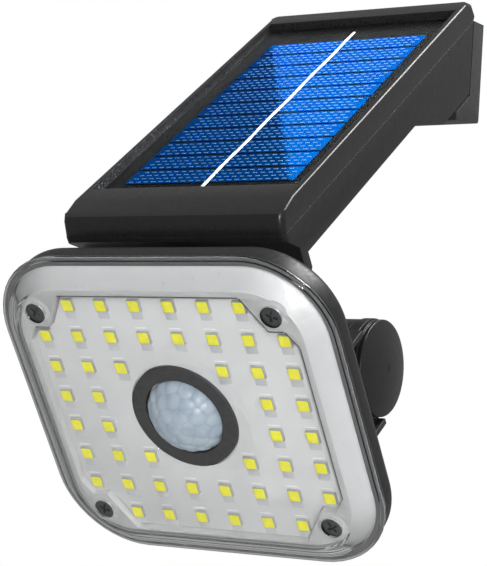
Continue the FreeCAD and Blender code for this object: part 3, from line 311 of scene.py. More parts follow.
def textured(name, colour, roughness, grain, contrast=0.12, bump=0.15, bump_size=0.00004,
             rough_spread=0.08, wear=0.0, **sockets):
    """A moulded, printed or plated surface: mottled colour, uneven gloss and fine grain."""
    material = new_material(name, colour, roughness, **sockets)
    shader = material.node_tree.nodes["Principled BSDF"]
    dark = [channel * (1 - contrast) for channel in colour]
    light = [min(1.0, channel * (1 + contrast)) for channel in colour]
    mottle = spread(material, noise(material, grain / MOTTLE_SIZE, 3.0), 0.0, 1.0)
    result = tint(material, mottle, dark, light)
    if wear:
        worn = add_node(material, "Mix", data_type="RGBA")
        pale = [min(1.0, channel + wear) for channel in colour]
        link(material, result, worn.inputs[MIX_DARK])
        worn.inputs[MIX_LIGHT].default_value = (*pale, 1.0)
        mask = add_node(material, "Math", operation="MULTIPLY")
        link(material, edge_mask(material, WEAR_WIDTH), mask.inputs[0])
        patches = noise(material, grain / WEAR_SIZE, 5.0)
        link(material, spread(material, patches, 0.1, 0.9), mask.inputs[1])
        link(material, mask.outputs["Value"], worn.inputs["Factor"])
        result = worn.outputs[MIX_RESULT]
    link(material, result, shader.inputs["Base Color"])
    gloss = spread(material, noise(material, grain / GLOSS_SIZE, 2.0),
                   roughness - rough_spread, roughness + rough_spread)
    link(material, gloss, shader.inputs["Roughness"])
    relief = add_node(material, "Bump")
    relief.inputs["Strength"].default_value = bump
    relief.inputs["Distance"].default_value = bump_size
    link(material, noise(material, grain, 2.0), relief.inputs["Height"])
    link(material, relief.outputs["Normal"], shader.inputs["Normal"])
    return material


def clear_plastic(name, colour, roughness, index):
    """Clear plastic or resin with faint moulding ripples."""
    material = new_material(name, colour, roughness, Transmission_Weight=1.0, IOR=index)
    shader = material.node_tree.nodes["Principled BSDF"]
    ripple = add_node(material, "Bump")
    ripple.inputs["Strength"].default_value = 0.04
    ripple.inputs["Distance"].default_value = 0.0001
    link(material, noise(material, 180.0, 1.0), ripple.inputs["Height"])
    link(material, ripple.outputs["Normal"], shader.inputs["Normal"])
    return material


def silicon(name):
    """Blue cell surface: metallic sheen broken into crystal flakes."""
    material = new_material(name, (0.042, 0.20, 0.54), 0.08, Metallic=1.0,
                            Specular_Tint=(0.12, 0.4, 1.0, 1.0))
    shader = material.node_tree.nodes["Principled BSDF"]
    place = add_node(material, "TexCoord")
    flakes = add_node(material, "TexVoronoi")
    flakes.inputs["Scale"].default_value = 420.0
    link(material, place.outputs["Object"], flakes.inputs["Vector"])
    split = add_node(material, "SeparateColor")
    link(material, flakes.outputs["Color"], split.inputs["Color"])
    colour = tint(material, split.outputs["Red"], (0.036, 0.175, 0.48), (0.052, 0.218, 0.58))
    link(material, colour, shader.inputs["Base Color"])
    gloss = spread(material, split.outputs["Green"], 0.04, 0.08, start=0.0, end=1.0)
    link(material, gloss, shader.inputs["Roughness"])
    return material


def milky(name):
    """Milky moulded lens, with painted shade darkening the creases between its facets."""
    material = new_material(name, (0.55, 0.66, 0.77), 0.36, Coat_Weight=0.1,
                            Coat_Roughness=0.4)
    shader = material.node_tree.nodes["Principled BSDF"]
    shape = add_node(material, "NewGeometry")
    # Painted shade: the colour darkens in patches where the mesh creases between facets
    crease_shade = spread(material, shape.outputs["Pointiness"], 0.0, 1.0, start=0.44, end=0.52)
    patchy_shade = add_node(material, "Math", operation="MULTIPLY")
    link(material, crease_shade, patchy_shade.inputs[0])
    link(material, spread(material, noise(material, 260.0, 2.0), 0.5, 1.0), patchy_shade.inputs[1])
    colour = tint(material, patchy_shade.outputs["Value"], (0.26, 0.36, 0.48), (0.68, 0.78, 0.86))
    link(material, colour, shader.inputs["Base Color"])
    return material


HOUSING = textured("housing_plastic", (0.018, 0.018, 0.0185), roughness=0.40, grain=5200.0,
                   bump=0.2, wear=0.03, Specular_IOR_Level=0.3)
FRAME = textured("frame_plastic", (0.016, 0.016, 0.0162), roughness=0.32, grain=5200.0,
                 bump=0.15, wear=0.03, Specular_IOR_Level=0.4)
BRACKET = textured("bracket_plastic", (0.032, 0.032, 0.033), roughness=0.45, grain=5200.0,
                   bump=0.2, wear=0.03, Specular_IOR_Level=0.35)
CAP = textured("cap_plastic", (0.014, 0.014, 0.0145), roughness=0.34, grain=6000.0, bump=0.12,
               wear=0.02, Specular_IOR_Level=0.35)
RING = textured("ring_plastic", (0.058, 0.058, 0.058), roughness=0.6, grain=6500.0, bump=0.2)
CLEAR = clear_plastic("clear_polycarbonate", (0.97, 0.98, 0.985), roughness=0.02, index=1.5)
RESIN = clear_plastic("clear_resin", (0.97, 0.985, 1.0), roughness=0.02, index=1.02)
TRAY = textured("white_tray_plastic", (0.49, 0.49, 0.49), roughness=0.35, grain=3000.0,
                contrast=0.02, bump=0.06)
BOARD = textured("white_solder_mask", (0.71, 0.71, 0.71), roughness=0.4, grain=2400.0,
                 contrast=0.025, bump=0.08)
# Grey patch under each LED is a painted shadow of the LED
SHADOW_PATCH = textured("painted_led_shadow", (0.60, 0.60, 0.62), roughness=0.45, grain=2400.0,
               contrast=0.03, bump=0.1)
# Pale strip above each LED, lighter than the board
LIGHT_STRIP = textured("pale_strip", (0.9, 0.9, 0.9), roughness=0.5, grain=2400.0, contrast=0.02,
                bump=0.1)
# Near black of the strip round the LED board is painted shadow
BOARD_SHADOW_LINE = textured("painted_board_shadow", (0.05, 0.05, 0.05), roughness=0.6, grain=5000.0,
                    contrast=0.2, bump=0.2)
# Grey of the LED bodies is painted shade, standing for their shaded sides
LED_BODY_SHADE = textured("led_body_painted_shade", (0.36, 0.36, 0.35), roughness=0.4, grain=4000.0,
                    contrast=0.03, bump=0.05)
PHOSPHOR = textured("phosphor_gel", (0.80, 0.76, 0.02), roughness=0.35, grain=9000.0,
                    contrast=0.08, bump=0.2, Emission_Color=(1.0, 0.93, 0.04, 1.0),
                    Emission_Strength=0.13)
LENS = milky("lens_polythene")
SILICONE = textured("silicone_gasket", (0.10, 0.10, 0.102), roughness=0.6, grain=3500.0,
                    contrast=0.1, bump=0.2)
DARK_STEEL = textured("black_zinc_steel", (0.12, 0.12, 0.125), roughness=0.35, grain=4200.0,
                      contrast=0.2, bump=0.2, Metallic=0.8)
STEEL = textured("zinc_plated_steel", (0.60, 0.60, 0.61), roughness=0.32, grain=3800.0,
                 contrast=0.08, bump=0.15, Metallic=1.0)
NYLON = textured("natural_nylon", (0.72, 0.71, 0.66), roughness=0.45, grain=2500.0,
                 contrast=0.05, bump=0.1)
FOAM = textured("closed_cell_foam", (0.03, 0.03, 0.03), roughness=0.85, grain=5000.0,
                contrast=0.2, bump=0.5)
BACKING = textured("black_laminate", (0.005, 0.005, 0.005), roughness=0.35, grain=2600.0,
                   contrast=0.15, bump=0.03, Specular_IOR_Level=0.02)
CELLS = silicon("silicon_cells")
PRINT = textured("silver_print", (0.92, 0.92, 0.92), roughness=0.5, grain=7000.0, contrast=0.05,
                 bump=0.15)
FINGER = textured("silver_fingers", (0.32, 0.56, 0.84), roughness=0.3, grain=7000.0,
                  contrast=0.08, bump=0.1, Metallic=1.0)
SLEEVE = textured("battery_sleeve", (0.05, 0.16, 0.45), roughness=0.3, grain=2500.0,
                  contrast=0.08, bump=0.08)
NICKEL = textured("nickel_strip", (0.70, 0.68, 0.63), roughness=0.3, grain=4000.0,
                  contrast=0.06, bump=0.15, Metallic=1.0)
CIRCUIT = textured("green_solder_mask", (0.02, 0.18, 0.07), roughness=0.35, grain=3000.0,
                   contrast=0.12, bump=0.1)
CHIP = textured("moulded_epoxy", (0.03, 0.03, 0.03), roughness=0.55, grain=5000.0, contrast=0.2,
                bump=0.2)
FERRITE = textured("ferrite", (0.08, 0.08, 0.085), roughness=0.6, grain=5000.0, contrast=0.2,
                   bump=0.3)
CAN = textured("capacitor_can", (0.66, 0.66, 0.68), roughness=0.28, grain=4000.0, contrast=0.06,
               bump=0.1, Metallic=1.0)
JACKET = textured("lead_jacket", (0.025, 0.025, 0.025), roughness=0.5, grain=4000.0,
                  contrast=0.15, bump=0.15)
SOFT_RUBBER = textured("button_rubber", (0.028, 0.028, 0.029), roughness=0.6, grain=5000.0,
                       contrast=0.15, bump=0.3)

NODE_MATERIALS = {
    "cover_gasket": SILICONE, "motion_sensor": STEEL, "hinge_bolt": STEEL, "hinge_nut": STEEL,
    "friction_washer_right": NYLON, "friction_washer_left": NYLON, "panel_tape": FOAM,
    "panel_backing": BACKING, "housing_seal": FOAM,
    "battery_cell": SLEEVE, "battery_terminal": NICKEL, "battery_tabs": NICKEL,
    "battery_leads": JACKET, "panel_leads": JACKET, "control_board": CIRCUIT,
    "charge_chip": CHIP, "charge_coil": FERRITE, "capacitors": CAN, "board_screws": STEEL,
    "mode_switch": CHIP, "housing_screws": DARK_STEEL, "lock_screw": STEEL,
    "panel_resin": RESIN,
}
for node_name, node_material in NODE_MATERIALS.items():
    for entry in frame["nodes"][node_name].material_slots:
        entry.material = node_material
frame["nodes"]["panel_resin"].visible_shadow = False


# ------------------------------------------------------------------ mesh helpers

def placed(name, data):
    """A new object of the scene that shows the given data."""
    item = bpy.data.objects.new(name, data)
    bpy.context.scene.collection.objects.link(item)
    return item


def mesh_from(bm, name):
    """A mesh of what has been drawn, which is then let go."""
    mesh = bpy.data.meshes.new(name)
    bm.to_mesh(mesh)
    bm.free()
    return mesh


def piece_from(bm, name, material, body, smooth=35.0):
    """Turn a mesh drawn in the panel's frame into a piece that rides on a body."""
    bmesh.ops.recalc_face_normals(bm, faces=bm.faces)
    mesh = mesh_from(bm, name)
    mesh.transform(PANEL)
    return finished(mesh, name, material, body, smooth)


def finished(mesh, name, material, body, smooth=35.0):
    """Link a mesh already in the part's frame as a piece with its finish."""
    mesh.materials.clear()
    mesh.materials.append(material)
    mesh.shade_smooth()
    mesh.set_sharp_from_angle(angle=math.radians(smooth))
    piece = placed(name, mesh)
    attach(piece, body)
    return piece


def round_crest(bm):
    """Round the upper outer edges of the frame, where a line of light runs."""
    back = PANEL.inverted()
    crest = []
    for edge in bm.edges:
        spots = [back @ vert.co for vert in edge.verts]
        outside = all(abs(spot.x) > CREST_SIDE and spot.z > CREST_OUT for spot in spots)
        if outside and edge.calc_face_angle(0.0) > CREST_ANGLE:
            crest.append(edge)
    bmesh.ops.bevel(bm, geom=crest, offset=CREST_WIDTH * MM, offset_type="OFFSET",
                    segments=CREST_SEGMENTS, profile=0.5, affect="EDGES", clamp_overlap=False)


def softened(node, name, material, body, width, segments=3, crest=False):
    """A node's own shape with its hard edges rounded over, standing for that node."""
    bm = bmesh.new()
    bm.from_mesh(frame["nodes"][node].data)
    bmesh.ops.remove_doubles(bm, verts=bm.verts, dist=WELD)
    bmesh.ops.dissolve_limit(bm, angle_limit=math.radians(MERGE_ANGLE), verts=bm.verts,
                             edges=bm.edges)
    if crest:
        round_crest(bm)
    source = placed(name + "_source", mesh_from(bm, name))
    bevel = source.modifiers.new("round", "BEVEL")
    bevel.width = width * MM
    bevel.segments = segments
    bevel.limit_method = "ANGLE"
    bevel.angle_limit = math.radians(SHARP_ANGLE)
    bevel.use_clamp_overlap = True
    shape = applied(source, name)
    piece = finished(shape, name, material, body)
    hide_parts(node)
    return piece


def applied(source, name):
    """The mesh that an object's modifiers give; the object itself is removed."""
    bpy.context.view_layer.update()
    graph = bpy.context.evaluated_depsgraph_get()
    shape = bpy.data.meshes.new_from_object(source.evaluated_get(graph))
    shape.name = name
    bpy.data.objects.remove(source)
    return shape


def rounded_loop(wide, high, corner, up, steps=12, between=0):
    """Points of a rounded rectangle square to the slope, anticlockwise from its right.

    Each corner has steps + 1 points and each straight side has some more between them.
    """
    def spot(turn, part):
        side, rise = ((1, 1), (-1, 1), (-1, -1), (1, -1))[turn % 4]
        angle = math.radians(90 * (turn + part))
        return Vector((side * (wide / 2 - corner) + corner * math.cos(angle), up,
                       rise * (high / 2 - corner) + corner * math.sin(angle)))

    points = []
    for turn in range(4):
        points += [spot(turn, step / steps) for step in range(steps + 1)]
        start, end = spot(turn, 1.0), spot(turn + 1, 0.0)
        points += [start.lerp(end, (step + 1) / (between + 1)) for step in range(between)]
    return points


def circle_like(loop, radius, up):
    """A circle with one point beside each point of another loop, so that both can be skinned."""
    points = []
    for spot in loop:
        angle = math.atan2(spot.z, spot.x)
        points.append(Vector((radius * math.cos(angle), up, radius * math.sin(angle))))
    return points


def skin(bm, loops, closed=False):
    """Quads between each loop and the next, and from the last back to the first if closed."""
    rings = [[bm.verts.new(spot) for spot in loop] for loop in loops]
    pairs = list(zip(rings, rings[1:]))
    if closed:
        pairs.append((rings[-1], rings[0]))
    for one, other in pairs:
        for index in range(len(one)):
            after = (index + 1) % len(one)
            bm.faces.new((one[index], one[after], other[after], other[index]))
    return rings


def eased(points, radius, steps=4):
    """An open path with each inner corner replaced by an arc of about the given radius."""
    path = [Vector(points[0])]
    for before, corner, after in zip(points, points[1:], points[2:]):
        before, corner, after = Vector(before), Vector(corner), Vector(after)
        one = (before - corner).normalized()
        two = (after - corner).normalized()
        shorter = min((before - corner).length, (after - corner).length)
        reach = min(radius, shorter / EASE_SPLIT)
        for step in range(steps + 1):
            part = step / steps
            first = corner + one * reach
            last = corner + two * reach
            path.append(first * (1 - part) ** 2 + corner * 2 * part * (1 - part)
                        + last * part ** 2)
    path.append(Vector(points[-1]))
    return path


def turned(bm, profile, centre, steps):
    """Spin a profile of (radius, up) points about a line up the slope through a centre."""
    rings = []
    for radius, along in profile:
        ring = []
        for step in range(steps):
            angle = math.tau * step / steps
            ring.append(centre + Vector((radius * math.cos(angle), along,
                                         radius * math.sin(angle))))
        rings.append(ring)
    made = skin(bm, rings)
    bm.faces.new(made[0])
    bm.faces.new(made[-1])


def cut(target, tools):
    """Give an object modifiers that cut each tool out of it."""
    for tool in tools:
        modifier = target.modifiers.new("cut", "BOOLEAN")
        modifier.operation = "DIFFERENCE"
        modifier.solver = "EXACT"
        modifier.object = tool


def loose(bm, name):
    """A helper object in the panel's frame that isn't a piece."""
    bmesh.ops.recalc_face_normals(bm, faces=bm.faces)
    return placed(name, mesh_from(bm, name))


def screw_spots():
    """Middle of each cover screw."""
    for side in (-1, 1):
        for rise in (-1, 1):
            yield side * SCREW_X, rise * SCREW_Z


# ------------------------------------------------------------------ lamp head

def cover_station(inset, up):
    """The cover's outline at an inset from its flange."""
    return rounded_loop(COVER_WIDE - 2 * inset, COVER_HIGH - 2 * inset, COVER_CORNER - inset, up,
                        between=SIDE_POINTS)


def make_cover():
    """Clear pan with a flange, a sensor hole and four screw holes."""
    inside = COVER_FRONT + COVER_SKIN
    bead_front = FLANGE_FRONT - BEAD_RISE
    outer = [(HOLLOW_INSET, FLANGE_BACK), (0.0, FLANGE_BACK), (0.0, FLANGE_FRONT),
             (BEAD_INSET, FLANGE_FRONT), (BEAD_INSET + BEAD_SLOPE, bead_front),
             (PAN_INSET, bead_front), (PAN_INSET, PAN_FRONT),
             (FACE_INSET, COVER_FRONT), (FACE_INSET + FACE_BORDER, COVER_FRONT)]
    funnel = [(FUNNEL_HOLE + FUNNEL_LEAD, COVER_FRONT), (FUNNEL_HOLE, COVER_FRONT),
              (SENSOR_HOLE, COVER_FRONT + FUNNEL_DEEP), (SENSOR_HOLE, inside + FUNNEL_DEEP),
              (FUNNEL_HOLE, inside), (FUNNEL_HOLE + FUNNEL_LEAD, inside)]
    inner = [(FACE_INSET + FACE_BORDER, inside), (FACE_INSET + HOLLOW_STEP, inside),
             (HOLLOW_INSET, FLANGE_BACK)]
    loops = [cover_station(*spot) for spot in eased(outer, PAN_EASE)]
    face = cover_station(FACE_INSET, COVER_FRONT)
    loops += [circle_like(face, *spot) for spot in eased(funnel, FUNNEL_EASE, FUNNEL_STEPS)]
    loops += [cover_station(*spot) for spot in eased(inner, HOLLOW_EASE)[:-1]]
    bm = bmesh.new()
    skin(bm, loops, closed=True)
    cover = loose(bm, "cover_body")
    holes = []
    for x, z in screw_spots():
        bm = bmesh.new()
        turned(bm, [(HOLE_RADIUS + HOLE_FLARE, COVER_FRONT - HOLE_PAST),
                    (HOLE_RADIUS, COVER_FRONT + HOLE_LEAD),
                    (HOLE_RADIUS, inside + HOLE_PAST)], Vector((x, 0, z)), HOLE_STEPS)
        holes.append(loose(bm, "screw_hole"))
    cut(cover, holes)
    shape = applied(cover, "cover_clear")
    for tool in holes:
        bpy.data.objects.remove(tool)
    shape.transform(PANEL)
    piece = finished(shape, "cover_clear", CLEAR, "lamp_head", smooth=40.0)
    piece.visible_shadow = False
    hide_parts("lamp_cover")


def led_spots():
    """Middle of each LED: the full grid less the corners and the sensor's square."""
    middle = (GRID - 1) / 2
    for row in range(GRID):
        for column in range(GRID):
            steps = abs(column - middle) + abs(row - middle)
            if SENSOR_STEPS <= steps <= CORNER_STEPS:
                yield (column - middle) * LED_PITCH, (middle - row) * LED_ROW_PITCH


def rounded_about(x, z, wide, high, corner, up, steps=3):
    """A small rounded rectangle about a spot."""
    return [spot + Vector((x, 0, z)) for spot in rounded_loop(wide, high, corner, up, steps)]


def capped(bm, loops):
    """Skin between loops and close the last of them."""
    rings = skin(bm, loops)
    bm.faces.new(rings[-1])


def make_leds():
    """LED bodies, grey as painted shade, with a shallow cup, the gel in each cup, a pale strip
    above each and a painted shadow under each.
    """
    bodies = bmesh.new()
    gels = bmesh.new()
    shadow_patches = bmesh.new()
    light_strips = bmesh.new()
    for x, z in led_spots():
        body = [rounded_about(x, z, side, side, LED_CORNER, up) for side, up in
                ((LED_SIZE, LED_HIGH), (LED_SIZE, LED_SLOPE_DEEP), (LED_SIZE - LED_SLOPE, 0.0))]
        cup, gel = [[rounded_about(x + CUP_SHIFT, z + CUP_SHIFT, CUP_WINDOW + more,
                                   CUP_WINDOW + more, corner, up)
                     for more, up, corner in loops] for loops in (CUP_LOOPS, GEL_LOOPS)]
        capped(bodies, body + cup)
        capped(gels, gel)
        capped(light_strips, [rounded_about(x + LIGHT_STRIP_X, z + LIGHT_STRIP_Z, *loop, 2) for loop in LIGHT_STRIP_LOOPS])
        capped(shadow_patches, [rounded_about(x + SHADOW_PATCH_X, z + SHADOW_PATCH_Z, *loop) for loop in SHADOW_PATCH_LOOPS])
    piece = piece_from(bodies, "led_bodies", LED_BODY_SHADE, "lamp_head")
    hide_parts("led_packages")
    piece = piece_from(gels, "led_gel", PHOSPHOR, "lamp_head", smooth=60.0)
    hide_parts("led_phosphor")
    piece_from(shadow_patches, "led_shadow_patches", SHADOW_PATCH, "lamp_head")
    piece_from(light_strips, "led_light_strips", LIGHT_STRIP, "lamp_head")


def make_board_shadow_line():
    """Dark strip of painted shadow at the tray's front, along the LED board's upper and right
    sides.
    """
    back = PANEL.inverted()
    bm = bmesh.new()
    board = bmesh.new()
    board.from_mesh(frame["nodes"]["led_board"].data)
    board.transform(back)
    board.normal_update()
    bmesh.ops.remove_doubles(board, verts=board.verts, dist=BOARD_WELD)
    front = min(vert.co.y for vert in board.verts)
    for edge in board.edges:
        one, two = [vert.co for vert in edge.verts]
        flat = [face for face in edge.link_faces if abs(face.normal.y) > BOARD_FACING]
        if max(one.y, two.y) > front + BOARD_LEVEL or len(flat) != 1:
            continue
        middle = (one + two) / 2
        outward = (two - one).cross(Vector((0, 1, 0))).normalized()
        if outward.dot(middle - flat[0].calc_center_median()) < 0:
            outward.negate()
        if middle.length < BOARD_HOLE or min(outward.x, outward.z) < SHADOW_SIDE_LIMIT:
            continue
        raised = outward * EDGE_GAP + Vector((0, TRAY_FRONT - front, 0))
        wide = outward * EDGE_WIDE
        spots = [one + raised, two + raised, two + raised + wide, one + raised + wide]
        top = [bm.verts.new(spot - Vector((0, EDGE_PROUD, 0))) for spot in spots]
        base = [bm.verts.new(spot + Vector((0, EDGE_SUNK, 0))) for spot in spots]
        bm.faces.new(top)
        for index in range(4):
            after = (index + 1) % 4
            bm.faces.new((base[index], base[after], top[after], top[index]))
    board.free()
    piece_from(bm, "board_shadow_line", BOARD_SHADOW_LINE, "lamp_head")


def make_lens():
    """Sensor lens: a dome pressed into about thirty small facets."""
    crown = (LENS_RADIUS ** 2 + LENS_RISE ** 2) / (2 * LENS_RISE)
    reach = math.asin(LENS_RADIUS / crown)
    seeds = [(0.0, 0.0)]
    for ring, count in LENS_RINGS:
        for step in range(count):
            scatter = random.uniform(-LENS_SCATTER, LENS_SCATTER)
            angle = math.tau * (step + 0.5 * (count % 2) + scatter) / count
            seeds.append((ring * math.cos(angle), ring * math.sin(angle)))
    bm = bmesh.new()
    loops = []
    for row in range(LENS_ROWS, 0, -1):
        share = row / LENS_ROWS
        tilt = share * reach
        loop = []
        for column in range(LENS_COLUMNS):
            turn = math.tau * column / LENS_COLUMNS
            across = share * math.cos(turn)
            high = share * math.sin(turn)
            near = min((across - seed[0]) ** 2 + (high - seed[1]) ** 2 for seed in seeds)
            push = 0.0
            if share < LENS_PLAIN:
                push = max(0.0, LENS_BULGE * (1 - near / LENS_FACET ** 2 * LENS_FALL))
            radius = crown - LENS_BULGE + push
            loop.append(Vector((radius * math.sin(tilt) * math.cos(turn),
                                LENS_RIM - LENS_RISE + crown - radius * math.cos(tilt),
                                radius * math.sin(tilt) * math.sin(turn))))
        loops.append(loop)
    rim = [Vector((spot.x, LED_HIGH, spot.z)) for spot in loops[0]]
    capped(bm, [rim] + loops)
    piece = piece_from(bm, "lens_dome", LENS, "lamp_head", smooth=50.0)
    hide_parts("sensor_lens")


def screw_height(across, high):
    """Height of a cross-recessed pan head over a spot, with softened recess walls."""
    radius = math.hypot(across, high)
    crown = SCREW_CROWN * (1 - SCREW_FALL * (radius / SCREW_HEAD) ** 2)
    inside = 0.0
    for along, beside in ((abs(across), abs(high)), (abs(high), abs(across))):
        lengthwise = min(1.0, max(0.0, (CROSS_ARM - along) / CROSS_WALL))
        sidewise = min(1.0, max(0.0, (CROSS_HALF - beside) / CROSS_WALL))
        inside = max(inside, lengthwise * sidewise)
    return crown - CROSS_DEEP * inside


def make_screws():
    """Cover screws: domed heads with a cross recess on a short shank."""
    bm = bmesh.new()
    shank = SCREW_HEAD * SHANK_SHARE
    turns = [math.tau * column / SCREW_COLUMNS for column in range(SCREW_COLUMNS)]
    for x, z in screw_spots():
        spin = random.uniform(*SCREW_SPINS)
        loops = [[Vector((x + shank * math.cos(turn), up, z + shank * math.sin(turn)))
                  for turn in turns] for up in (SHANK_BACK, SCREW_SEAT)]
        for row in range(SCREW_ROWS, 0, -1):
            share = row / SCREW_ROWS
            loop = []
            for turn in turns:
                across = SCREW_HEAD * share * math.cos(turn)
                high = SCREW_HEAD * share * math.sin(turn)
                along = across * math.cos(spin) + high * math.sin(spin)
                beside = high * math.cos(spin) - across * math.sin(spin)
                rise = screw_height(along, beside)
                loop.append(Vector((x + across, SCREW_SEAT - rise, z + high)))
            if row == SCREW_ROWS:
                loops.append([Vector((spot.x, SCREW_SEAT, spot.z)) for spot in loop])
            loops.append(loop)
        rings = skin(bm, loops)
        bm.faces.new(rings[-1])
        bm.faces.new(rings[0])
    piece = piece_from(bm, "cover_screw_heads", DARK_STEEL, "lamp_head", smooth=40.0)
    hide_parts("cover_screws")


def make_seats():
    """White seats of the tray under the cover screws."""
    bm = bmesh.new()
    for x, z in screw_spots():
        turned(bm, [(SEAT_RADIUS, TRAY_FRONT + SEAT_THICK), (SEAT_RADIUS, TRAY_FRONT),
                    (SEAT_RADIUS - SEAT_EASE, TRAY_FRONT - SEAT_CROWN)],
               Vector((x, 0, z)), SEAT_STEPS)
    piece_from(bm, "tray_seats", TRAY, "lamp_head")


# ------------------------------------------------------------------ solar panel

def slab(bm, left, right, low, high, under, over):
    """A flat bar lying along the panel."""
    rings = skin(bm, [[Vector((left, low, out)), Vector((right, low, out)),
                       Vector((right, high, out)), Vector((left, high, out))]
                      for out in (under, over)])
    bm.faces.new(rings[-1])
    bm.faces.new(rings[0])


def make_cells():
    """Cell strips across the panel, one above another with a dark gap between them."""
    bm = bmesh.new()
    for strip in range(CELL_COUNT):
        start = CELL_START + strip * CELL_PITCH
        slab(bm, CELL_LEFT, CELL_RIGHT, start + CELL_GAP / 2, start + CELL_PITCH - CELL_GAP / 2,
             CELL_TOP - CELL_THICK, CELL_TOP)
    piece = piece_from(bm, "cell_strips", CELLS, "housing")
    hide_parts("solar_cells")
    return piece


def make_busbar():
    """Tinned ribbon up the middle of the strips, lumpy where it is soldered to each."""
    bm = bmesh.new()
    start = CELL_START - BUSBAR_OVERRUN
    end = CELL_START + CELL_COUNT * CELL_PITCH + BUSBAR_OVERRUN
    under = CELL_TOP + BUSBAR_UNDER
    loops = []
    for step in range(BUSBAR_STEPS + 1):
        up = start + (end - start) * step / BUSBAR_STEPS
        beat = max(0.0, math.cos(math.tau * (up - CELL_START) / CELL_PITCH))
        ragged = random.uniform(-BUSBAR_RAGGED, BUSBAR_RAGGED)
        half = BUSBAR_HALF * (1 + BUSBAR_LUMP * beat + ragged)
        crown = half * BUSBAR_CROWN
        middle = BUSBAR_SWAY * math.sin(math.tau * up / BUSBAR_WAVE)
        over = CELL_TOP + BUSBAR_THICK * (1 + BUSBAR_SOLDER * beat)
        loops.append([Vector((middle - half, up, under)), Vector((middle - crown, up, over)),
                      Vector((middle + crown, up, over)), Vector((middle + half, up, under))])
    rings = skin(bm, loops)
    bm.faces.new(rings[0])
    bm.faces.new(rings[-1])
    piece = piece_from(bm, "busbar_ribbon", PRINT, "housing", smooth=50.0)
    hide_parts("panel_busbar")
    return piece


def make_fingers():
    """Printed fingers of the cells: broken lines along each strip."""
    bm = bmesh.new()
    for strip in range(CELL_COUNT):
        start = CELL_START + strip * CELL_PITCH
        for line in range(FINGER_LINES):
            up = start + CELL_GAP / 2 + (CELL_PITCH - CELL_GAP) * (line + 0.5) / FINGER_LINES
            shares = FINGER_LINE_SHIFT * line + FINGER_STRIP_SHIFT * strip
            left = CELL_LEFT + FINGER_MARGIN + FINGER_PITCH * shares % FINGER_PITCH
            while left + FINGER_DASH < CELL_RIGHT - FINGER_MARGIN:
                slab(bm, left, left + FINGER_DASH, up - FINGER_HALF, up + FINGER_HALF,
                     CELL_TOP - FINGER_SINK, CELL_TOP + FINGER_RISE)
                left += FINGER_PITCH
    return piece_from(bm, "cell_fingers", FINGER, "housing")


# ------------------------------------------------------------------ camera, light and floor

CAMERA_AIM = Vector((0.006, -0.083, -0.072))
CAMERA_DISTANCE = 0.47
CAMERA_AZIMUTH = math.radians(30.9)
CAMERA_ELEVATION = math.radians(-5.9)
CAMERA_ROLL = math.radians(3.9)
CAMERA_LENS = 116.1
CAMERA_SENSOR = 36.0
FLOOR_DROP = 1.2
FLOOR_HALF = 1.6
KEY_WAY = Vector((0.573, -0.8195, -0.0114))
KEY_DISTANCE = 1.6
KEY_SIZE = 0.14
KEY_POWER = 10.5
EDGE_WAY = Vector((0.44, 0.28, 0.854))
EDGE_DISTANCE = 0.8
EDGE_SIZE = (0.5, 0.3)
EDGE_POWER = 9.0
CARD_TOP_X = -25.2
CARD_TOP_UP = 126.7
CARD_LOW_X = 24.5
CARD_LOW_UP = 37.0
CARD_DISTANCE = 0.55
CARD_SIZE = 0.5
CARD_GLOW = 1.0
WORLD_GLOW = 0.33
WHITE = (1.0, 1.0, 1.0, 1.0)


def make_camera():
    """Camera at the viewing angle: to the right of the light and a little below it."""
    data = bpy.data.cameras.new("camera")
    data.sensor_fit = "VERTICAL"
    data.sensor_height = CAMERA_SENSOR
    data.lens = CAMERA_LENS
    camera = placed("camera", data)
    away = Vector((math.sin(CAMERA_AZIMUTH) * math.cos(CAMERA_ELEVATION),
                   -math.cos(CAMERA_AZIMUTH) * math.cos(CAMERA_ELEVATION),
                   math.sin(CAMERA_ELEVATION)))
    camera.location = CAMERA_AIM + away * CAMERA_DISTANCE
    turn = (-away).to_track_quat("-Z", "Y") @ Quaternion((0, 0, 1), CAMERA_ROLL)
    camera.rotation_mode = "QUATERNION"
    camera.rotation_quaternion = turn
    bpy.context.scene.camera = camera


def area_light(name, wide, high, power):
    """A rectangular area light, still to be placed and aimed."""
    data = bpy.data.lights.new(name, "AREA")
    data.shape = "RECTANGLE"
    data.size = wide
    data.size_y = high
    data.energy = power
    return placed(name, data)


def softbox(name, place, target, wide, high, power):
    """A soft light at one point, aimed at another."""
    light = area_light(name, wide, high, power)
    light.location = place
    light.rotation_mode = "QUATERNION"
    light.rotation_quaternion = (Vector(target) - Vector(place)).to_track_quat("-Z", "Y")


def mirrored(spot):
    """Where the panel's face sends the camera's line of sight at a spot in its own frame."""
    place = PANEL @ Vector(spot)
    look = (place - bpy.context.scene.camera.location).normalized()
    return place, look - OUTWARD * 2 * look.dot(OUTWARD)


def make_card(mirrors):
    """Bright card that the given pieces mirror, its edge crossing the cells corner to corner."""
    upper, upper_way = mirrored((CARD_TOP_X, CARD_TOP_UP, CELL_TOP))
    lower, lower_way = mirrored((CARD_LOW_X, CARD_LOW_UP, CELL_TOP))
    beside, beside_way = mirrored((CELL_RIGHT, CELL_START + CELL_PITCH * CELL_COUNT, CELL_TOP))
    one = upper + upper_way * CARD_DISTANCE
    other = lower + lower_way * CARD_DISTANCE
    inner = beside + beside_way * CARD_DISTANCE
    along = (one - other).normalized()
    across = (inner - other) - along * (inner - other).dot(along)
    across.normalize()
    middle = (one + other) / 2 + across * CARD_SIZE / 2
    away = along.cross(across)
    if away.dot(upper_way) < 0:
        away.negate()
    light = area_light("card", CARD_SIZE, CARD_SIZE, CARD_GLOW * math.pi * CARD_SIZE ** 2)
    side = away.cross(along)
    light.matrix_world = Matrix.Translation(middle) @ Matrix(
        (along, side, away)).transposed().to_4x4()
    shown_in = bpy.data.collections.new("card_shown_in")
    for piece in mirrors:
        shown_in.objects.link(piece)
    light.light_linking.receiver_collection = shown_in


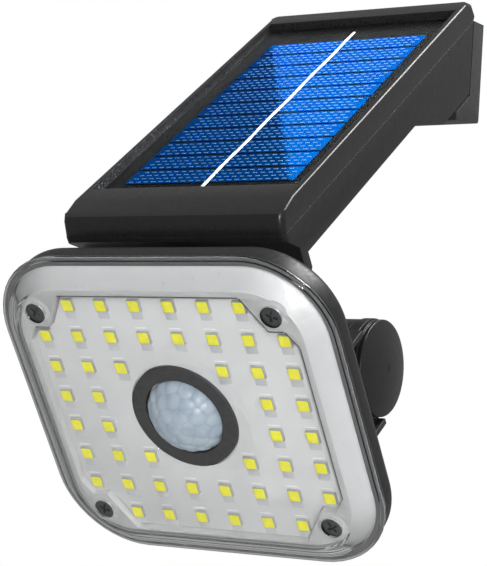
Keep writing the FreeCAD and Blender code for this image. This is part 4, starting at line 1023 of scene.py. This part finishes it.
def make_studio():
    """White surroundings, soft lights and a plain pale floor."""
    world = bpy.data.worlds.new("studio")
    bpy.context.scene.world = world
    world.use_nodes = True
    nodes = world.node_tree.nodes
    links = world.node_tree.links
    seen = nodes["Background"]
    seen.inputs["Color"].default_value = WHITE
    lit = nodes.new("ShaderNodeBackground")
    lit.inputs["Color"].default_value = WHITE
    lit.inputs["Strength"].default_value = WORLD_GLOW
    path = nodes.new("ShaderNodeLightPath")
    mix = nodes.new("ShaderNodeMixShader")
    links.new(path.outputs["Is Camera Ray"], mix.inputs["Fac"])
    links.new(lit.outputs["Background"], mix.inputs[1])
    links.new(seen.outputs["Background"], mix.inputs[2])
    links.new(mix.outputs["Shader"], nodes["World Output"].inputs["Surface"])
    lamp = PANEL @ Vector((0, 0, 0))
    softbox("key", lamp + KEY_WAY * KEY_DISTANCE, lamp, KEY_SIZE, KEY_SIZE, KEY_POWER)
    softbox("edge", lamp + EDGE_WAY * EDGE_DISTANCE, lamp, *EDGE_SIZE, EDGE_POWER)
    bm = bmesh.new()
    half = FLOOR_HALF
    level = cad_box[0].z - FLOOR_DROP
    bm.faces.new([bm.verts.new((x, y, level))
                  for x, y in ((-half, -half), (half, -half), (half, half), (-half, half))])
    floor = mesh_from(bm, "floor")
    paper = textured("floor_paper", (0.86, 0.86, 0.86), roughness=0.8, grain=40.0,
                     contrast=0.01, bump=0.02)
    floor.materials.append(paper)
    ground = placed("floor", floor)
    bpy.context.scene.view_settings.view_transform = "Standard"


make_camera()
make_studio()
make_cover()
make_leds()
make_board_shadow_line()
make_lens()
make_screws()
make_seats()
make_card([make_cells(), make_busbar(), make_fingers(), frame["nodes"]["panel_resin"]])
softened("lamp_back_housing", "back_shell", HOUSING, "lamp_head", 0.35)
softened("reflector_tray", "tray_shell", TRAY, "lamp_head", 0.12, 2)
softened("led_board", "board_plate", BOARD, "lamp_head", 0.08, 2)
softened("sensor_ring", "ring_shell", RING, "lamp_head", 0.15, 2)
softened("hinge_cap_right", "cap_right", CAP, "lamp_head", 0.3)
softened("hinge_cap_left", "cap_left", CAP, "lamp_head", 0.3)
softened("lower_shell", "shell_lower", HOUSING, "housing", 0.4)
softened("top_frame", "shell_frame", FRAME, "housing", 0.3, crest=True)
softened("wall_bracket", "bracket_shell", BRACKET, "housing", 0.4)
softened("mode_button", "button_cap", SOFT_RUBBER, "button", 0.35)
